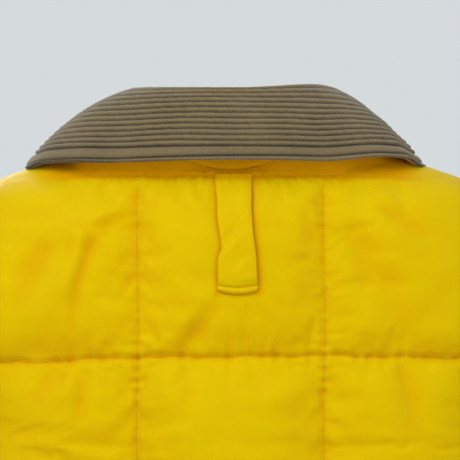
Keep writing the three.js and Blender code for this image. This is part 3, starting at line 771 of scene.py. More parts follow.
def quiltedBack():
    base = backBase
    across = acrossOf(base)
    x, z = base[..., 0], base[..., 2]
    free = smooth(-6, -34, z) * edgeShare(base, quilting["edge"], "lrb")
    height = quiltHeight(across, z) * free + addFolds(x, z, backFolds) * smooth(-8, -30, z)
    height = height + yokeHeight(x, z) - 1.2 * (1 - edgeShare(base, 4, "lr"))
    hemLine = -1.0 * bell(z - z[-1:] - coatCut["hemSeam"], 2.0)
    # painted shadow under the collar, beside the hang loop's edges and below its sewn end
    yokeShade = smooth(-11, -1, z + 0.02 * np.abs(x)) * smooth(198, 160, np.abs(x))
    left = np.interp(-z, loopCut["edgeDrops"], loopCut["leftEdge"])
    right = np.interp(-z, loopCut["rightDrops"], loopCut["rightEdge"])
    beside = bell(x - left, 2.2) + bell(x - right + 1, 3.6)
    loopShade = beside * smooth(-124, -119, z) * smooth(0, -8, z)
    loopShade = loopShade + bell(z + 120.5, 2.2) * smooth(-30, -27, x) * smooth(16, 13, x)
    shade = np.clip(yokeShade + 0.8 * loopShade, 0, 1)
    padding = np.where(np.arange(len(base)) < len(backCut["bandRises"]), backCut["bandThickness"],
                       quilting["padding"])
    piece = quiltedSkin("backShell", base, across, z, height + hemLine, slack=0.75, extraShade=shade,
                        padding=padding[:, None, None])
    addPadding(piece)
    return finishPiece(piece, yellowCloth, "torso", "shell", "back_shell", "back_wadding")


backPiece = quiltedBack()
print("quilted back made")


# where a straight look along Y, from behind or from in front, first meets a piece: the place and its normal
def touch(piece, x, z, facing=1):
    hit, place, normal, _ = piece.ray_cast(Vector((x * mm, 0.4 * facing, z * mm)), Vector((0, -facing, 0)))
    return (np.array(place) / mm, np.array(normal)) if hit else (None, None)


# a row of thread stitches along a line of X and Z places, lying on a piece
def sewOn(name, piece, lines, body, facing=1, pitch=3.3, length=2.3, size=0.55, lift=0.1, material=None,
          slot="shell"):
    places, normals, sides = [], [], []
    for line in lines:
        line = np.array(line, float)
        step = runLength(line)
        for at in np.arange(pitch / 2, step[-1] - pitch / 2, pitch):
            ends = []
            for k in (at, at + length):
                place, normal = touch(piece, np.interp(k, step, line[:, 0]), np.interp(k, step, line[:, 1]),
                                      facing)
                if place is not None:
                    ends.append(place + normal * lift)
            if len(ends) < 2 or np.linalg.norm(ends[1] - ends[0]) > 2 * length:
                continue
            along = (ends[1] - ends[0]) / np.linalg.norm(ends[1] - ends[0])
            side = np.cross(normal, along)
            places.append((ends[0] * mm, ends[1] * mm))
            normals.append(normal)
            sides.append(side / max(np.linalg.norm(side), 1e-6))
    return stitches(name, places, normals, sides, size * mm, material or yellowThread, body, slot)


def backSeams():
    low = backLow.z / mm
    lines = []
    for side in (1, -1):
        z = np.arange(-12, low + 4, -6.0)
        x = side * quilting["firstSide"] - 0.7 * np.sin(z / 31)
        lines.append(np.column_stack([x, z]))
    for number in range(1, 5):
        x = np.arange(-262.0, 262.0, 2.5)
        lines.append(np.column_stack([x, -quilting["pitch"] * number - seamSag(x)]))
    x = np.arange(-252.0, 252.0, 6.0)
    lines.append(np.column_stack([x, np.full_like(x, low + coatCut["hemSeam"])]))
    return lines


sewOn("backStitches", backPiece, backSeams(), "torso")
x = np.arange(-132.0, 128.0, 3.0)
sewOn("yokeStitches", backPiece, [np.column_stack([x, yokeLine(x) - 1.6])], "torso", pitch=2.9, length=2.1,
      size=0.5)
print("back seams stitched")


# the hang loop: a strap sewn down at both ends, with soft creases across it

def hangLoop():
    c = loopCut
    rows, columns = 130, 44
    v = np.linspace(0, 1, rows)[:, None]
    u = np.linspace(0, 1, columns)[None, :]
    across = 2 * u - 1
    drop = mix(-c["top"], -c["bottom"] + 0 * u, v) - 3.6 * across ** 2 * v ** 6
    left = np.interp(drop, c["edgeDrops"], c["leftEdge"]) + 0.35 * np.sin(drop / 6.3)
    right = np.interp(drop, c["rightDrops"], c["rightEdge"]) + 0.3 * np.sin(drop / 7.7)
    x, z = mix(left, right, u), -drop
    under = np.array([[touch(backPiece, x[j, i], z[j, i])[0][1] for i in range(0, columns, 3)]
                      for j in range(0, rows, 3)])
    under = refine(under[..., None], np.arange(0, rows, 3), np.arange(0, columns, 3), np.arange(rows),
                   np.arange(columns))[..., 0]
    for _ in range(10):
        wide = np.pad(under, 1, mode="edge")
        under = np.maximum(under, (wide[:-2, 1:-1] + wide[2:, 1:-1] + wide[1:-1, :-2] + wide[1:-1, 2:]) / 4)
    free = smooth(0.02, 0.2, v) * smooth(0.99, 0.86, v)
    creases = [
        {"path": [(14, -86), (4, -76), (-8, -62), (-24, -52)], "deep": 2.3, "wide": 5.0, "step": 0.9},
        {"path": [(12, -72), (2, -66), (-8, -54), (-14, -44)], "deep": 1.3, "wide": 4.5, "step": 0.6},
        {"path": [(-2, -100), (-12, -88), (-26, -80)], "deep": 1.2, "wide": 5.0, "step": 0.8},
        {"path": [(16, -30), (6, -34), (-6, -28)], "deep": 0.9, "wide": 6.0, "step": 0.5},
        {"path": [(-22, -14), (-18, -40), (-21, -66)], "deep": 0.9, "wide": 4.0, "step": 0.8},
        {"path": [(12, -100), (2, -108), (-16, -106)], "deep": 0.9, "wide": 4.5, "step": 0.6},
    ]
    relief = addFolds(x, z, creases) * smooth(0.97, 0.9, v)
    rounded = -1.5 * np.abs(across) ** 7
    bar = 0.9 * bell(drop + 3.6 * across ** 2 * v ** 6 - 117.2, 1.7)
    bar = bar - 0.9 * bell(drop + 3.6 * across ** 2 * v ** 6 - 113.6, 0.9)
    crown = 0.6 * (1 - across ** 2) + 0.35 * waves(x, z, 26, 51)
    lift = c["rise"] * free + (relief + crown) * np.maximum(free, 0.3)
    y = under + 0.5 + c["thickness"] + lift + rounded + bar
    relief = relief + rounded * 0.7 + 1.5 * bar
    points = np.stack([x, y, z], -1)
    # painted shade along the strap's side edges and at its top under the collar, added to painted shade in
    # its creases
    loopEdgeShade = np.clip(smooth(0.9, 1.0, np.abs(across)) + 0 * z + smooth(-14, -5, z), 0, 1)
    hollow = np.clip(paintedCreaseShade(relief, 3) + 0.8 * loopEdgeShade, 0, 1)
    piece = clothGrid("hangLoop", points * mm, uv=np.stack([x, z], -1) * mm, marks={"hollow": hollow})
    thicken(piece, c["thickness"] * mm)
    return finishPiece(piece, yellowCloth, "torso", "shell", "hang_loop")


loopPiece = hangLoop()
u = np.linspace(-1, 1, 30)
barLines = [np.column_stack([-6.8 - 19.0 * u, -drop + 3.4 * u ** 2]) for drop in (113.9, 118.6)]
sewOn("loopStitches", loopPiece, barLines, "torso", pitch=2.4, length=1.8, size=0.5)
print("hang loop made")

# the collar

collarCut = {
    "endAngle": 82.0, "rollEnd": 13.0, "bendEnd": 48.0, "bendDrop": 28.0, "standInset": 4.0,
    "standLower": 10.0, "rollHalf": 96.0, "rollBack": 66.0, "rollFront": 82.0, "rollSideRise": 82.0,
    "rollBackRise": 80.0, "rollUneven": 3.0, "liftLess": 7.5, "liftMore": 3.5, "lessRoll": 1.06,
    "lessBend": 0.92, "lessEdge": 0.948, "rollFrontRise": -18.0, "bendHalf": 155.0, "bendBack": 85.0,
    "bendFront": 104.0, "bendSideRise": 67.0, "bendBackRise": 74.0, "leafHalf": 205.0, "leafBack": 88.0,
    "leafSideRise": 4.0, "leafBackRise": 9.0, "pointHalf": 80.0, "pointFront": 107.0, "pointDrop": 105.0,
    "wale": 5.45, "waleDeep": 2.1, "band": 14.0, "edgeAt": [-200, -60, 60, 200],
    "edgeWide": [4.6, 4.8, 3.6, 1.6], "seamDeep": 1.3, "thickness": 3.4, "underThickness": 1.8,
    "underGap": 4.0, "standThickness": 4.5,
}


def collarLine(turn, side, half, back, front, endHalf, rise, backRise, endRise):
    angle = np.where(turn >= 0, np.radians(turn), -turn / collarCut["endAngle"] * np.pi / 2)
    c, s = np.cos(angle), np.sin(angle)
    behind = np.stack([side * half * c, back * s, rise + (backRise - rise) * s * s], -1)
    before = np.stack([side * (endHalf + (half - endHalf) * c), -front * s, rise + (endRise - rise) * s * s],
                      -1)
    return np.where((turn >= 0)[..., None], behind, before)


def leafPoints(turn, side, v):
    c = collarCut
    roll = collarLine(turn, side, c["rollHalf"], c["rollBack"], c["rollFront"], c["rollEnd"],
                      c["rollSideRise"], c["rollBackRise"], c["rollFrontRise"])
    bend = collarLine(turn, side, c["bendHalf"], c["bendBack"], c["bendFront"], c["bendEnd"],
                      c["bendSideRise"], c["bendBackRise"], -c["bendDrop"])
    edge = collarLine(turn, side, c["leafHalf"], c["leafBack"], c["pointFront"], c["pointHalf"],
                      c["leafSideRise"], c["leafBackRise"], -c["pointDrop"])
    v = v[..., None]
    # one side spreads less than the other
    less = np.where(side < 0, smooth(-60, 0, turn), 0)
    for line, share in ((roll, c["lessRoll"]), (bend, c["lessBend"]), (edge, c["lessEdge"])):
        line[..., 0] *= mix(1, share, less)
    # the edge lifts off the shoulders, and the roll stands a little higher on one side of the back
    x = edge[..., 0]
    lifted = c["liftLess"] * smooth(-85, -160, x) * smooth(-194, -174, x)
    lifted = lifted + c["liftMore"] * smooth(105, 170, x) * smooth(205, 188, x)
    edge[..., 2] += lifted * smooth(0, 12, turn)
    roll[..., 2] += c["rollUneven"] * smooth(-10, -85, roll[..., 0]) * smooth(0, 40, turn)
    return roll * (1 - v) ** 2 + bend * 2 * v * (1 - v) + edge * v * v


# the collar's columns: the angle from the shoulder, less than 0 towards the front, and the side it is on
def collarTurns(columns):
    turn = np.linspace(-collarCut["endAngle"], 180 + collarCut["endAngle"], columns)
    return np.where(turn > 90, 180 - turn, turn), np.where(turn > 90, -1.0, 1.0)


collarBend = ("torso", "collar_back", (0, 0.0176, -0.0132), (0, 0.040, -0.030))


def corduroyLeaf():
    c = collarCut
    turn, side = collarTurns(261)
    fine = np.linspace(0, 1, 401)
    backLine = leafPoints(np.full(401, 90.0), np.ones(401), fine)
    length = runLength(backLine)
    rows = int(length[-1] / 0.8)
    v = np.interp(np.linspace(0, length[-1], rows), length, fine)
    turnGrid, vGrid = np.broadcast_arrays(turn[None, :], v[:, None])
    base = leafPoints(turnGrid, np.broadcast_to(side[None, :], turnGrid.shape), vGrid)
    normal = gridNormals(base)
    fromEdge = length[-1] - np.interp(v, fine, length)[:, None] + 0.0 * turnGrid
    x = base[..., 0]
    # real distance from the edge, which the wales keep to on the front of the collar
    distance = mix(fromEdge, runLength(base[::-1])[::-1], smooth(25, -30, turnGrid))
    wander = 0.4 * waves(x, distance * 0.6, 90, 21)
    fuzz = 0.16 * waves(x, distance, 5, 22) + 0.12 * waves(x, distance, 11, 23)
    phase = (distance - c["band"] + wander + fuzz) / c["wale"]
    ridge = np.abs(np.sin(np.pi * phase)) ** 1.15
    edge = np.interp(x, c["edgeAt"], c["edgeWide"])
    bandShare = np.clip((distance - edge) / (c["band"] - edge), 0, 1)
    bandTop = 0.85 * np.abs(np.sin(np.pi * bandShare)) ** 0.4
    hem = 0.85 * np.abs(np.sin(np.pi * np.clip(distance / edge, 0, 1))) ** 0.5
    ridge = np.where(distance < c["band"], np.where(distance < edge, hem, bandTop), ridge)
    seams = bell(distance - c["band"], 1.1) + bell(distance - edge, 0.9)
    ridge = ridge * (1 - 0.9 * np.clip(seams, 0, 1))
    loose = 1.0 * waves(x, distance, 130, 5) + 0.35 * waves(x, distance * 1.5, 45, 6)
    loose = loose * smooth(0, 30, distance) * smooth(75, 50, distance)
    height = c["waleDeep"] * (ridge - 1) - c["seamDeep"] * seams * smooth(0, 2, distance) + loose
    points = base + normal * height[..., None]
    piece = clothGrid("collarCorduroy", points * mm, uv=np.stack([x, distance], -1) * mm,
                      marks={"wale": ridge})
    thicken(piece, c["thickness"] * mm)
    return finishPiece(piece, corduroyCloth, collarBend, "corduroy", "collar_corduroy",
                       "collar_back_corduroy")


def underCollar():
    c = collarCut
    turn, side = collarTurns(141)
    v = np.linspace(0.02, 0.975, 22)
    turnGrid, vGrid = np.broadcast_arrays(turn[None, :], v[:, None])
    base = leafPoints(turnGrid, np.broadcast_to(side[None, :], turnGrid.shape), vGrid)
    x = base[..., 0]
    height = 0.35 * waves(x, vGrid * 70, 34, 61) * smooth(0, 0.3, vGrid) * smooth(1, 0.9, vGrid)
    points = base - gridNormals(base) * (c["underGap"] + 0.5 - height)[..., None]
    # the whole under collar gets a fixed amount of painted shade
    piece = clothGrid("collarUnder", points * mm, uv=np.stack([x, vGrid * 75], -1) * mm,
                      marks={"hollow": 0.6 + 0 * x})
    thicken(piece, c["underThickness"] * mm)
    return finishPiece(piece, yellowCloth, collarBend, "shell", "collar_under", "collar_back_under")


# the standing band inside the collar, which runs down into the neck seam
def collarStand():
    c = collarCut
    turn, side = collarTurns(191)
    v = np.linspace(0, 1.0, 36)
    turnGrid, vGrid = np.broadcast_arrays(turn[None, :], v[:, None])
    sideGrid = np.broadcast_to(side[None, :], turnGrid.shape)
    inset, lower = c["standInset"], c["standLower"]
    top = collarLine(turnGrid, sideGrid, c["rollHalf"] - inset, c["rollBack"] - inset, c["rollFront"] - inset,
                     c["rollEnd"], c["rollSideRise"] - lower, c["rollBackRise"] - lower,
                     c["rollFrontRise"] - lower)
    angle = np.radians(turnGrid)
    ring = bodyRings[0]
    cosine, sine = np.cos(angle), np.sin(angle)
    depth = np.where(turnGrid >= 0, ring[1], ring[6])
    height = np.where(turnGrid >= 0, ring[3], ring[4])
    foot = np.stack([sideGrid * ring[0] * cosine, depth * sine, ring[2] + (height - ring[2]) * sine ** 2
                     + 1.5], -1)
    base = mix(top, foot, vGrid[..., None])
    x = base[..., 0]
    relief = 0.5 * waves(x + base[..., 1], vGrid * 60, 30, 71) - 0.8 * bell((vGrid - 0.12) * 60, 1.6)
    relief = relief * smooth(0, 0.1, vGrid) * smooth(1.0, 0.85, vGrid) - 0.8 * smooth(0.7, 0.95, vGrid)
    points = base + gridNormals(base) * relief[..., None]
    # painted shade in the stand's creases and towards its foot at the neck seam
    piece = clothGrid("collarStand", points * mm, uv=np.stack([x, vGrid * 60], -1) * mm,
                      marks={"hollow": np.clip(paintedCreaseShade(relief, 3) + smooth(0.6, 0.9, vGrid), 0, 1)})
    thicken(piece, c["standThickness"] * mm)
    return finishPiece(piece, yellowCloth, "torso", "shell", "collar_stand")


collarStand()
underCollar()
corduroyLeaf()
print("collar made")

# the quilted fronts

frontCut = {
    "spacing": 4.6, "rowSpacing": ([0, 60, 80, 800], [3.2, 3.2, 4.6, 5.2]), "edge": 5.0,
    "foldTopHalf": 85.0, "foldTop": 100.0, "foldHemHalf": 235.0, "openTop": 112.0, "bendWide": 0.013,
}
sides = {"left": 1, "right": -1}


# mirrors a grid of points, keeping its outside out
def mirrored(points):
    return points[:, ::-1] * np.array([-1, 1, 1])


def frontBase():
    t = panelRows([0, -28, -75, -160, -270, -450, -610, -770], frontCut["rowSpacing"])
    half, power = betweenStations(bodyRings, t)[:, 0], betweenStations(bodyRings, t)[:, 5]
    start = -np.degrees(np.arccos((frontCut["edge"] / half) ** (power / 2)))[:, None]
    end = -armholeAngle(t, -1)[:, None]
    angle = np.linspace(-90, 0, 721)
    line = bodyPoints(angle, np.full_like(angle, 4.6))
    length = runLength(line)
    count = int(length[-1] / frontCut["spacing"])
    share = np.interp(np.linspace(0, length[-1], count), length, angle) / 90 + 1
    return bodyPoints(mix(start, end, share[None, :]), t[:, None]), t


frontPoints, frontT = frontBase()
foldRun = Vector((frontCut["foldHemHalf"] - frontCut["foldTopHalf"], 0,
                  frontCut["foldTop"] - coatCut["length"])).normalized()
frontFolds = [
    {"path": [(60, -130), (80, -190), (74, -260)], "deep": 3.5, "wide": 16, "step": 0.8},
    {"path": [(210, -190), (180, -250), (120, -330)], "deep": 4.0, "wide": 20, "step": 0.9},
    {"path": [(240, -420), (190, -460), (110, -520)], "deep": 4.0, "wide": 18, "step": 0.8},
    {"path": [(90, -560), (140, -590), (200, -580)], "deep": 2.5, "wide": 16, "step": 0.7},
]


# cuts a front along its fold, and keeps the part that opens or the rest
def cutAtFold(piece, side, opens):
    planeCo = Vector((side * frontCut["foldTopHalf"], 0, -frontCut["foldTop"])) * mm
    planeNo = Vector((side * -foldRun.z, 0, foldRun.x))
    work = bmesh.new()
    work.from_mesh(piece.data)
    for co, no in ((planeCo, planeNo), (Vector((0, 0, -frontCut["openTop"] * mm)), Vector((0, 0, 1)))):
        bmesh.ops.bisect_plane(work, geom=work.verts[:] + work.edges[:] + work.faces[:], dist=1e-6,
                               plane_co=co, plane_no=no)
    gone = []
    for face in work.faces:
        centre = face.calc_center_median()
        opening = (centre - planeCo).dot(planeNo) < 0 and centre.z < -frontCut["openTop"] * mm
        if opening != opens:
            gone.append(face)
    bmesh.ops.delete(work, geom=gone, context="FACES")
    work.to_mesh(piece.data)
    work.free()


def quiltedFront(name, side):
    base = frontPoints if side > 0 else mirrored(frontPoints)
    across = frontPoints[:, :1, 0] + runLength(frontPoints, 1)
    across = across if side > 0 else -across[:, ::-1]
    x, z = base[..., 0], base[..., 2]
    free = edgeShare(base, quilting["edge"], "lrb") * smooth(-1, 34, (frontT * 40)[:, None] + 0 * x)
    # flat where the closure and the pocket sit
    middle = smooth(60, 84, np.abs(x))
    pocketZone = smooth(0, 16, np.maximum.reduce([58 - np.abs(x) + 4, np.abs(x) - 192, z + 584, -754 - z]))
    flat = np.where(z < -112, middle, 1) * pocketZone
    folds = addFolds(side * x, z, frontFolds) * smooth(-110, -130, z)
    height = (quiltHeight(across, z, 13 if side > 0 else 23) + folds) * free * mix(0.12, 1, flat)
    height = height - 1.2 * (1 - edgeShare(base, 4, "lr")) - 0.8 * (1 - middle) * (z < -112)
    skin = quiltedSkin(name + "Quilt", base, across, z, height, slack=0.45)
    # the part that opens is cut from the rest along its fold
    opening = skin.copy()
    opening.data = skin.data.copy()
    opening.name = name + "FrontShell"
    skin.name = name + "ChestShell"
    bpy.context.scene.collection.objects.link(opening)
    for piece, opens in ((opening, True), (skin, False)):
        cutAtFold(piece, side, opens)
        addPadding(piece)
    finishPiece(skin, yellowCloth, "torso", "shell", name + "_chest_shell", name + "_chest_wadding")
    start = (side * frontCut["foldTopHalf"] * mm, 0, -frontCut["foldTop"] * mm)
    end = tuple(np.array(start) - frontCut["bendWide"] * np.array([side * -foldRun.z, 0, foldRun.x]))
    frontBend = ("torso", name + "_front", start, end)
    finishPiece(opening, yellowCloth, frontBend, "shell", name + "_front_shell", name + "_front_wadding")
    return frontBend


frontBends = {name: quiltedFront(name, side) for name, side in sides.items()}
print("quilted fronts made")

# linings: one thin sheet under each quilted panel

liningCut = {"depth": 10.0, "thickness": 1.2, "every": 4}


def liningSheet(name, base, body, nodes, opens=None, side=1):
    every = liningCut["every"]
    rows = sorted({*range(0, base.shape[0], every), base.shape[0] - 1})
    columns = sorted({*range(0, base.shape[1], every), base.shape[1] - 1})
    coarse = base[np.ix_(rows, columns)]
    x, z = coarse[..., 0], coarse[..., 2]
    soft = 0.5 * waves(x + coarse[..., 1], z, 60, 81) * edgeShare(coarse, 20, "lrtb")
    points = coarse - gridNormals(coarse) * (liningCut["depth"] + 0.6 - soft)[..., None]
    piece = clothGrid(name, points * mm, uv=np.stack([x, z], -1) * mm)
    if opens is not None:
        cutAtFold(piece, side, opens)
    thicken(piece, liningCut["thickness"] * mm)
    return finishPiece(piece, liningCloth, body, "lining", *nodes)


liningSheet("backLining", backBase, "torso", ["back_lining"])
for name, side in sides.items():
    base = frontPoints if side > 0 else mirrored(frontPoints)
    liningSheet(name + "ChestLining", base, "torso", [name + "_chest_lining"], False, side)
    liningSheet(name + "FrontLining", base, frontBends[name], [name + "_front_lining"], True, side)
print("linings made")

# sleeves

sleeveCut = {
    "columns": 150, "rowSpacing": 5.0, "seamReach": 1.7, "blendFrom": 0.335, "blendTo": 0.46,
    "cuffSeam": 22.0,
}
# each ring's outer and inner ends in X and Z, and half its depth
sleeveRings = np.array([
    [244.0, -20, 273, -244, 54], [284, -39, 286, -249, 66],
    [321, -88, 292, -268, 76], [351, -163, 293, -292, 82],
    [373, -264, 293, -330, 82], [387, -382, 291, -402, 77],
    [393, -512, 295, -520, 69], [391, -642, 302, -645, 60],
])
lastSleeveRing = len(sleeveRings) - 1


# angles in degrees from the outer line, round by the back
def sleevePoints(angle, t, shrink=0.0):
    angle, t, shrink = np.broadcast_arrays(np.asarray(angle, float), np.asarray(t, float),
                                           np.asarray(shrink, float))
    outX, outZ, inX, inZ, depth = np.moveaxis(betweenStations(sleeveRings, t), -1, 0)
    halfX, halfZ = (outX - inX) / 2, (outZ - inZ) / 2
    length = np.hypot(halfX, halfZ)
    across = (length - shrink) / length
    c, s = np.cos(np.radians(angle)), np.sin(np.radians(angle))
    return np.stack([(outX + inX) / 2 + halfX * across * c, (depth - shrink) * s,
                     (outZ + inZ) / 2 + halfZ * across * c], -1)


# the armhole seam, from its top round by the back to the bottom and up the front
def armholeSeam(columns):
    t = np.linspace(1.7, 4.2, 601)
    half = []
    for facing in (1, -1):
        angle = armholeAngle(t, facing)
        line = bodyPoints(facing * angle, t)[angle > 0.4]
        length = runLength(line)
        half.append([np.interp(np.linspace(0, length[-1], columns // 2 + 1), length, line[:, k])
                     for k in range(3)])
    back, front = np.array(half[0]).T, np.array(half[1]).T
    return np.concatenate([back[:-1], front[::-1][:-1]])


def sleeveBase():
    c = sleeveCut
    angle = np.arange(c["columns"]) * 360 / c["columns"]
    t = [0.0]
    while t[-1] < lastSleeveRing:
        t.append(t[-1] + np.interp(t[-1], [0, 1, 3, 7], [0.055, 0.07, 0.05, 0.042]))
    t = np.array(t[:-1] + [lastSleeveRing])
    seam = armholeSeam(c["columns"])
    away = 1 - (1 - np.clip(t / c["seamReach"], 0, 1)) ** 1.7
    return mix(seam[None], sleevePoints(angle[None, :], t[:, None]), away[:, None, None])


sleevePoints0 = sleeveBase()
sleeveFolds = [
    {"path": [(-150, -30), (-60, -70), (40, -60)], "deep": 3.0, "wide": 13, "step": 0.7},
    {"path": [(-170, -250), (-90, -285), (10, -262)], "deep": 4.5, "wide": 13, "step": 0.9},
    {"path": [(-190, -330), (-110, -318), (-20, -352)], "deep": 4.0, "wide": 12, "step": 0.8},
    {"path": [(150, -270), (90, -300), (20, -292)], "deep": 4.0, "wide": 12, "step": 0.8},
    {"path": [(180, -350), (120, -342), (50, -372)], "deep": 3.5, "wide": 12, "step": 0.8},
    {"path": [(-120, -470), (-40, -500), (50, -480)], "deep": 3.0, "wide": 12, "step": 0.8},
]


def normalsRound(points):
    wide = np.concatenate([points[:, -2:], points, points[:, :2]], axis=1)
    return gridNormals(wide)[:, 2:-2]


def quiltedSleeve(name, side):
    base = sleevePoints0 if side > 0 else mirrored(sleevePoints0)
    rows, columns = base.shape[:2]
    down = runLength(sleevePoints0)
    down = down.mean(axis=1, keepdims=True) + 0 * down
    closed = np.concatenate([sleevePoints0, sleevePoints0[:, :1]], 1)
    steps = np.linalg.norm(np.diff(closed, axis=1), axis=-1)
    around = np.concatenate([np.zeros((rows, 1)), np.cumsum(steps, axis=1)[:, :-1]], axis=1)
    whole = steps.sum(axis=1, keepdims=True)
    around = np.where(around > whole / 2, around - whole, around) * 540 / whole
    if side < 0:
        down, around = down[:, ::-1], -around[:, ::-1]
    end = down[-1:].max()
    free = smooth(0, 16, down) * smooth(36, 66, end - down)
    underarm = smooth(0, 30, 270 - np.abs(around))
    height = quiltHeight(around, -down, 33 if side > 0 else 43) * (0.35 + 0.65 * underarm)
    height = height + addFolds(around, -down, sleeveFolds)
    cuff = -1.1 * bell(end - down - sleeveCut["cuffSeam"], 2.2)
    height = height * free + cuff - 1.3 * smooth(7, 0, down)
    normal = normalsRound(base)
    every = 2
    coarse = base[::every, ::every]
    sideways, fall = quiltGaps(around[::every, ::every], -down[::every, ::every])
    pins = np.clip(1.3 - np.minimum(sideways, fall) / 6, 0, 1)
    pins[[0, 1, -2, -1]] = 1
    moved = settle(coarse * mm, pins, clothCut["sleevePressure"], clothCut["sleeveGrowth"], True) / mm
    moved = np.concatenate([moved, moved[:, :1]], axis=1)
    moved = refine(moved, np.arange(0, rows, every), np.arange(0, columns + 1, every), np.arange(rows),
                   np.arange(columns))
    points = base + normal * height[..., None] + 0.4 * moved
    uv = np.stack([around, -down], -1) * mm
    # painted shade in the sleeve's folds and beside its seams
    piece = clothGrid(name + "SleeveShell", points * mm, True, uv, {"hollow": paintedCreaseShade(height, 4)})
    rememberInside(piece, base - normal * quilting["padding"])
    addPadding(piece)
    away = np.array([side * 0.9, 0, -0.436])
    sleeveBend = ("torso", name + "_sleeve", tuple(away * sleeveCut["blendFrom"]),
                  tuple(away * sleeveCut["blendTo"]))
    finishPiece(piece, yellowCloth, sleeveBend, "shell", name + "_sleeve_shell", name + "_sleeve_wadding")
    # the lining inside it
    inner = base[::3, ::3]
    inside = inner - normalsRound(inner) * (liningCut["depth"] + 0.6)
    lining = clothGrid(name + "SleeveLining", inside * mm, True, uv[::3, ::3])
    thicken(lining, liningCut["thickness"] * mm)
    finishPiece(lining, liningCloth, sleeveBend, "lining", name + "_sleeve_lining")
    return piece


for name, side in sides.items():
    quiltedSleeve(name, side)
print("sleeves made")

# knitted wristlets inside the cuffs

wristletCut = {
    "from": 5.9, "to": 6.93, "inset": 13.9, "squeeze": 8.0, "thickness": 2.3, "ribs": 64, "deep": 0.8,
}


def wristletFor(name, side):
    c = wristletCut
    columns, rows = c["ribs"] * 6, 40
    angle = np.arange(columns) * 360 / columns
    v = np.linspace(0, 1, rows)
    base = sleevePoints(angle[None, :], mix(c["from"], c["to"], v)[:, None],
                        c["inset"] + c["squeeze"] * v[:, None])
    base = base if side > 0 else mirrored(base)
    rib = np.abs(np.sin(np.pi * np.arange(columns) * c["ribs"] / columns))[None, :] ** 0.8 + 0 * v[:, None]
    fold = 0.9 * smooth(0.86, 0.97, v)[:, None] * smooth(1.0, 0.985, v)[:, None]
    points = base + normalsRound(base) * (c["deep"] * (rib - 1) + fold)[..., None]
    piece = clothGrid(name + "Wristlet", points * mm, True, marks={"wale": rib})
    thicken(piece, c["thickness"] * mm)
    return finishPiece(piece, knitCloth, name + "_sleeve", "knit", name + "_wristlet")


for name, side in sides.items():
    wristletFor(name, side)
print("wristlets made")


labelCut = {"stand": 13.4, "crown": 2.6, "thickness": 0.8}


# the blank label inside the neck, sewn down at its two ends
def neckLabel():
    low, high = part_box("neck_label")
    x, z = np.meshgrid(np.linspace(low.x, high.x, 41) / mm, np.linspace(high.z, low.z, 22) / mm)
    t = np.linspace(0, 3, 200)
    behind = np.interp(-z, -bodyPoints(90, t)[:, 2], bodyPoints(90, t)[:, 1])
    share = np.abs(x) / (high.x / mm)
    y = behind - labelCut["stand"] - labelCut["crown"] * (1 - share ** 3) - 0.25 * waves(x, z, 20, 95)
    hem = -0.25 * bell(share - 0.93, 0.02)
    piece = clothGrid("neckLabel", np.stack([x, y - hem, z], -1) * mm, uv=np.stack([x, z], -1) * mm)
    thicken(piece, labelCut["thickness"] * mm)
    return finishPiece(piece, labelCloth, "torso", "label", "neck_label")


labelPiece = neckLabel()
labelLines = [np.array([[a, -24.0], [a, -52.5]]) for a in (-28.0, 28.0)]
sewOn("labelStitches", labelPiece, labelLines, "torso", facing=-1, pitch=2.2, length=1.6, size=0.4,
      material=labelCloth, slot="label")
print("neck label made")

# the front closure, drawn flat and leaned to follow the middle of the front

closureCut = {
    "lean": math.atan(coatCut["frontSlope"]), "stand": 92.4, "flapTop": -118.0, "flapBottom": -758.0,
    "flapReach": -40.0, "flapSeam": 45.0, "flapFace": 12.0, "flapThickness": 3.8, "tapeTop": -128.0,
    "tapeBottom": -752.0, "tapeWide": 14.0, "tapeThickness": 1.1, "toothPitch": 2.6,
}


def onClosure(points):
    a = closureCut["lean"]
    y, z = points[..., 1], points[..., 2]
    return np.stack([points[..., 0], y * math.cos(a) + z * math.sin(a) - closureCut["stand"],
                     z * math.cos(a) - y * math.sin(a)], -1)


def closureMatrix():
    turn = Matrix.Rotation(-closureCut["lean"], 4, "X")
    return Matrix.Translation((0, -closureCut["stand"] * mm, 0)) @ turn


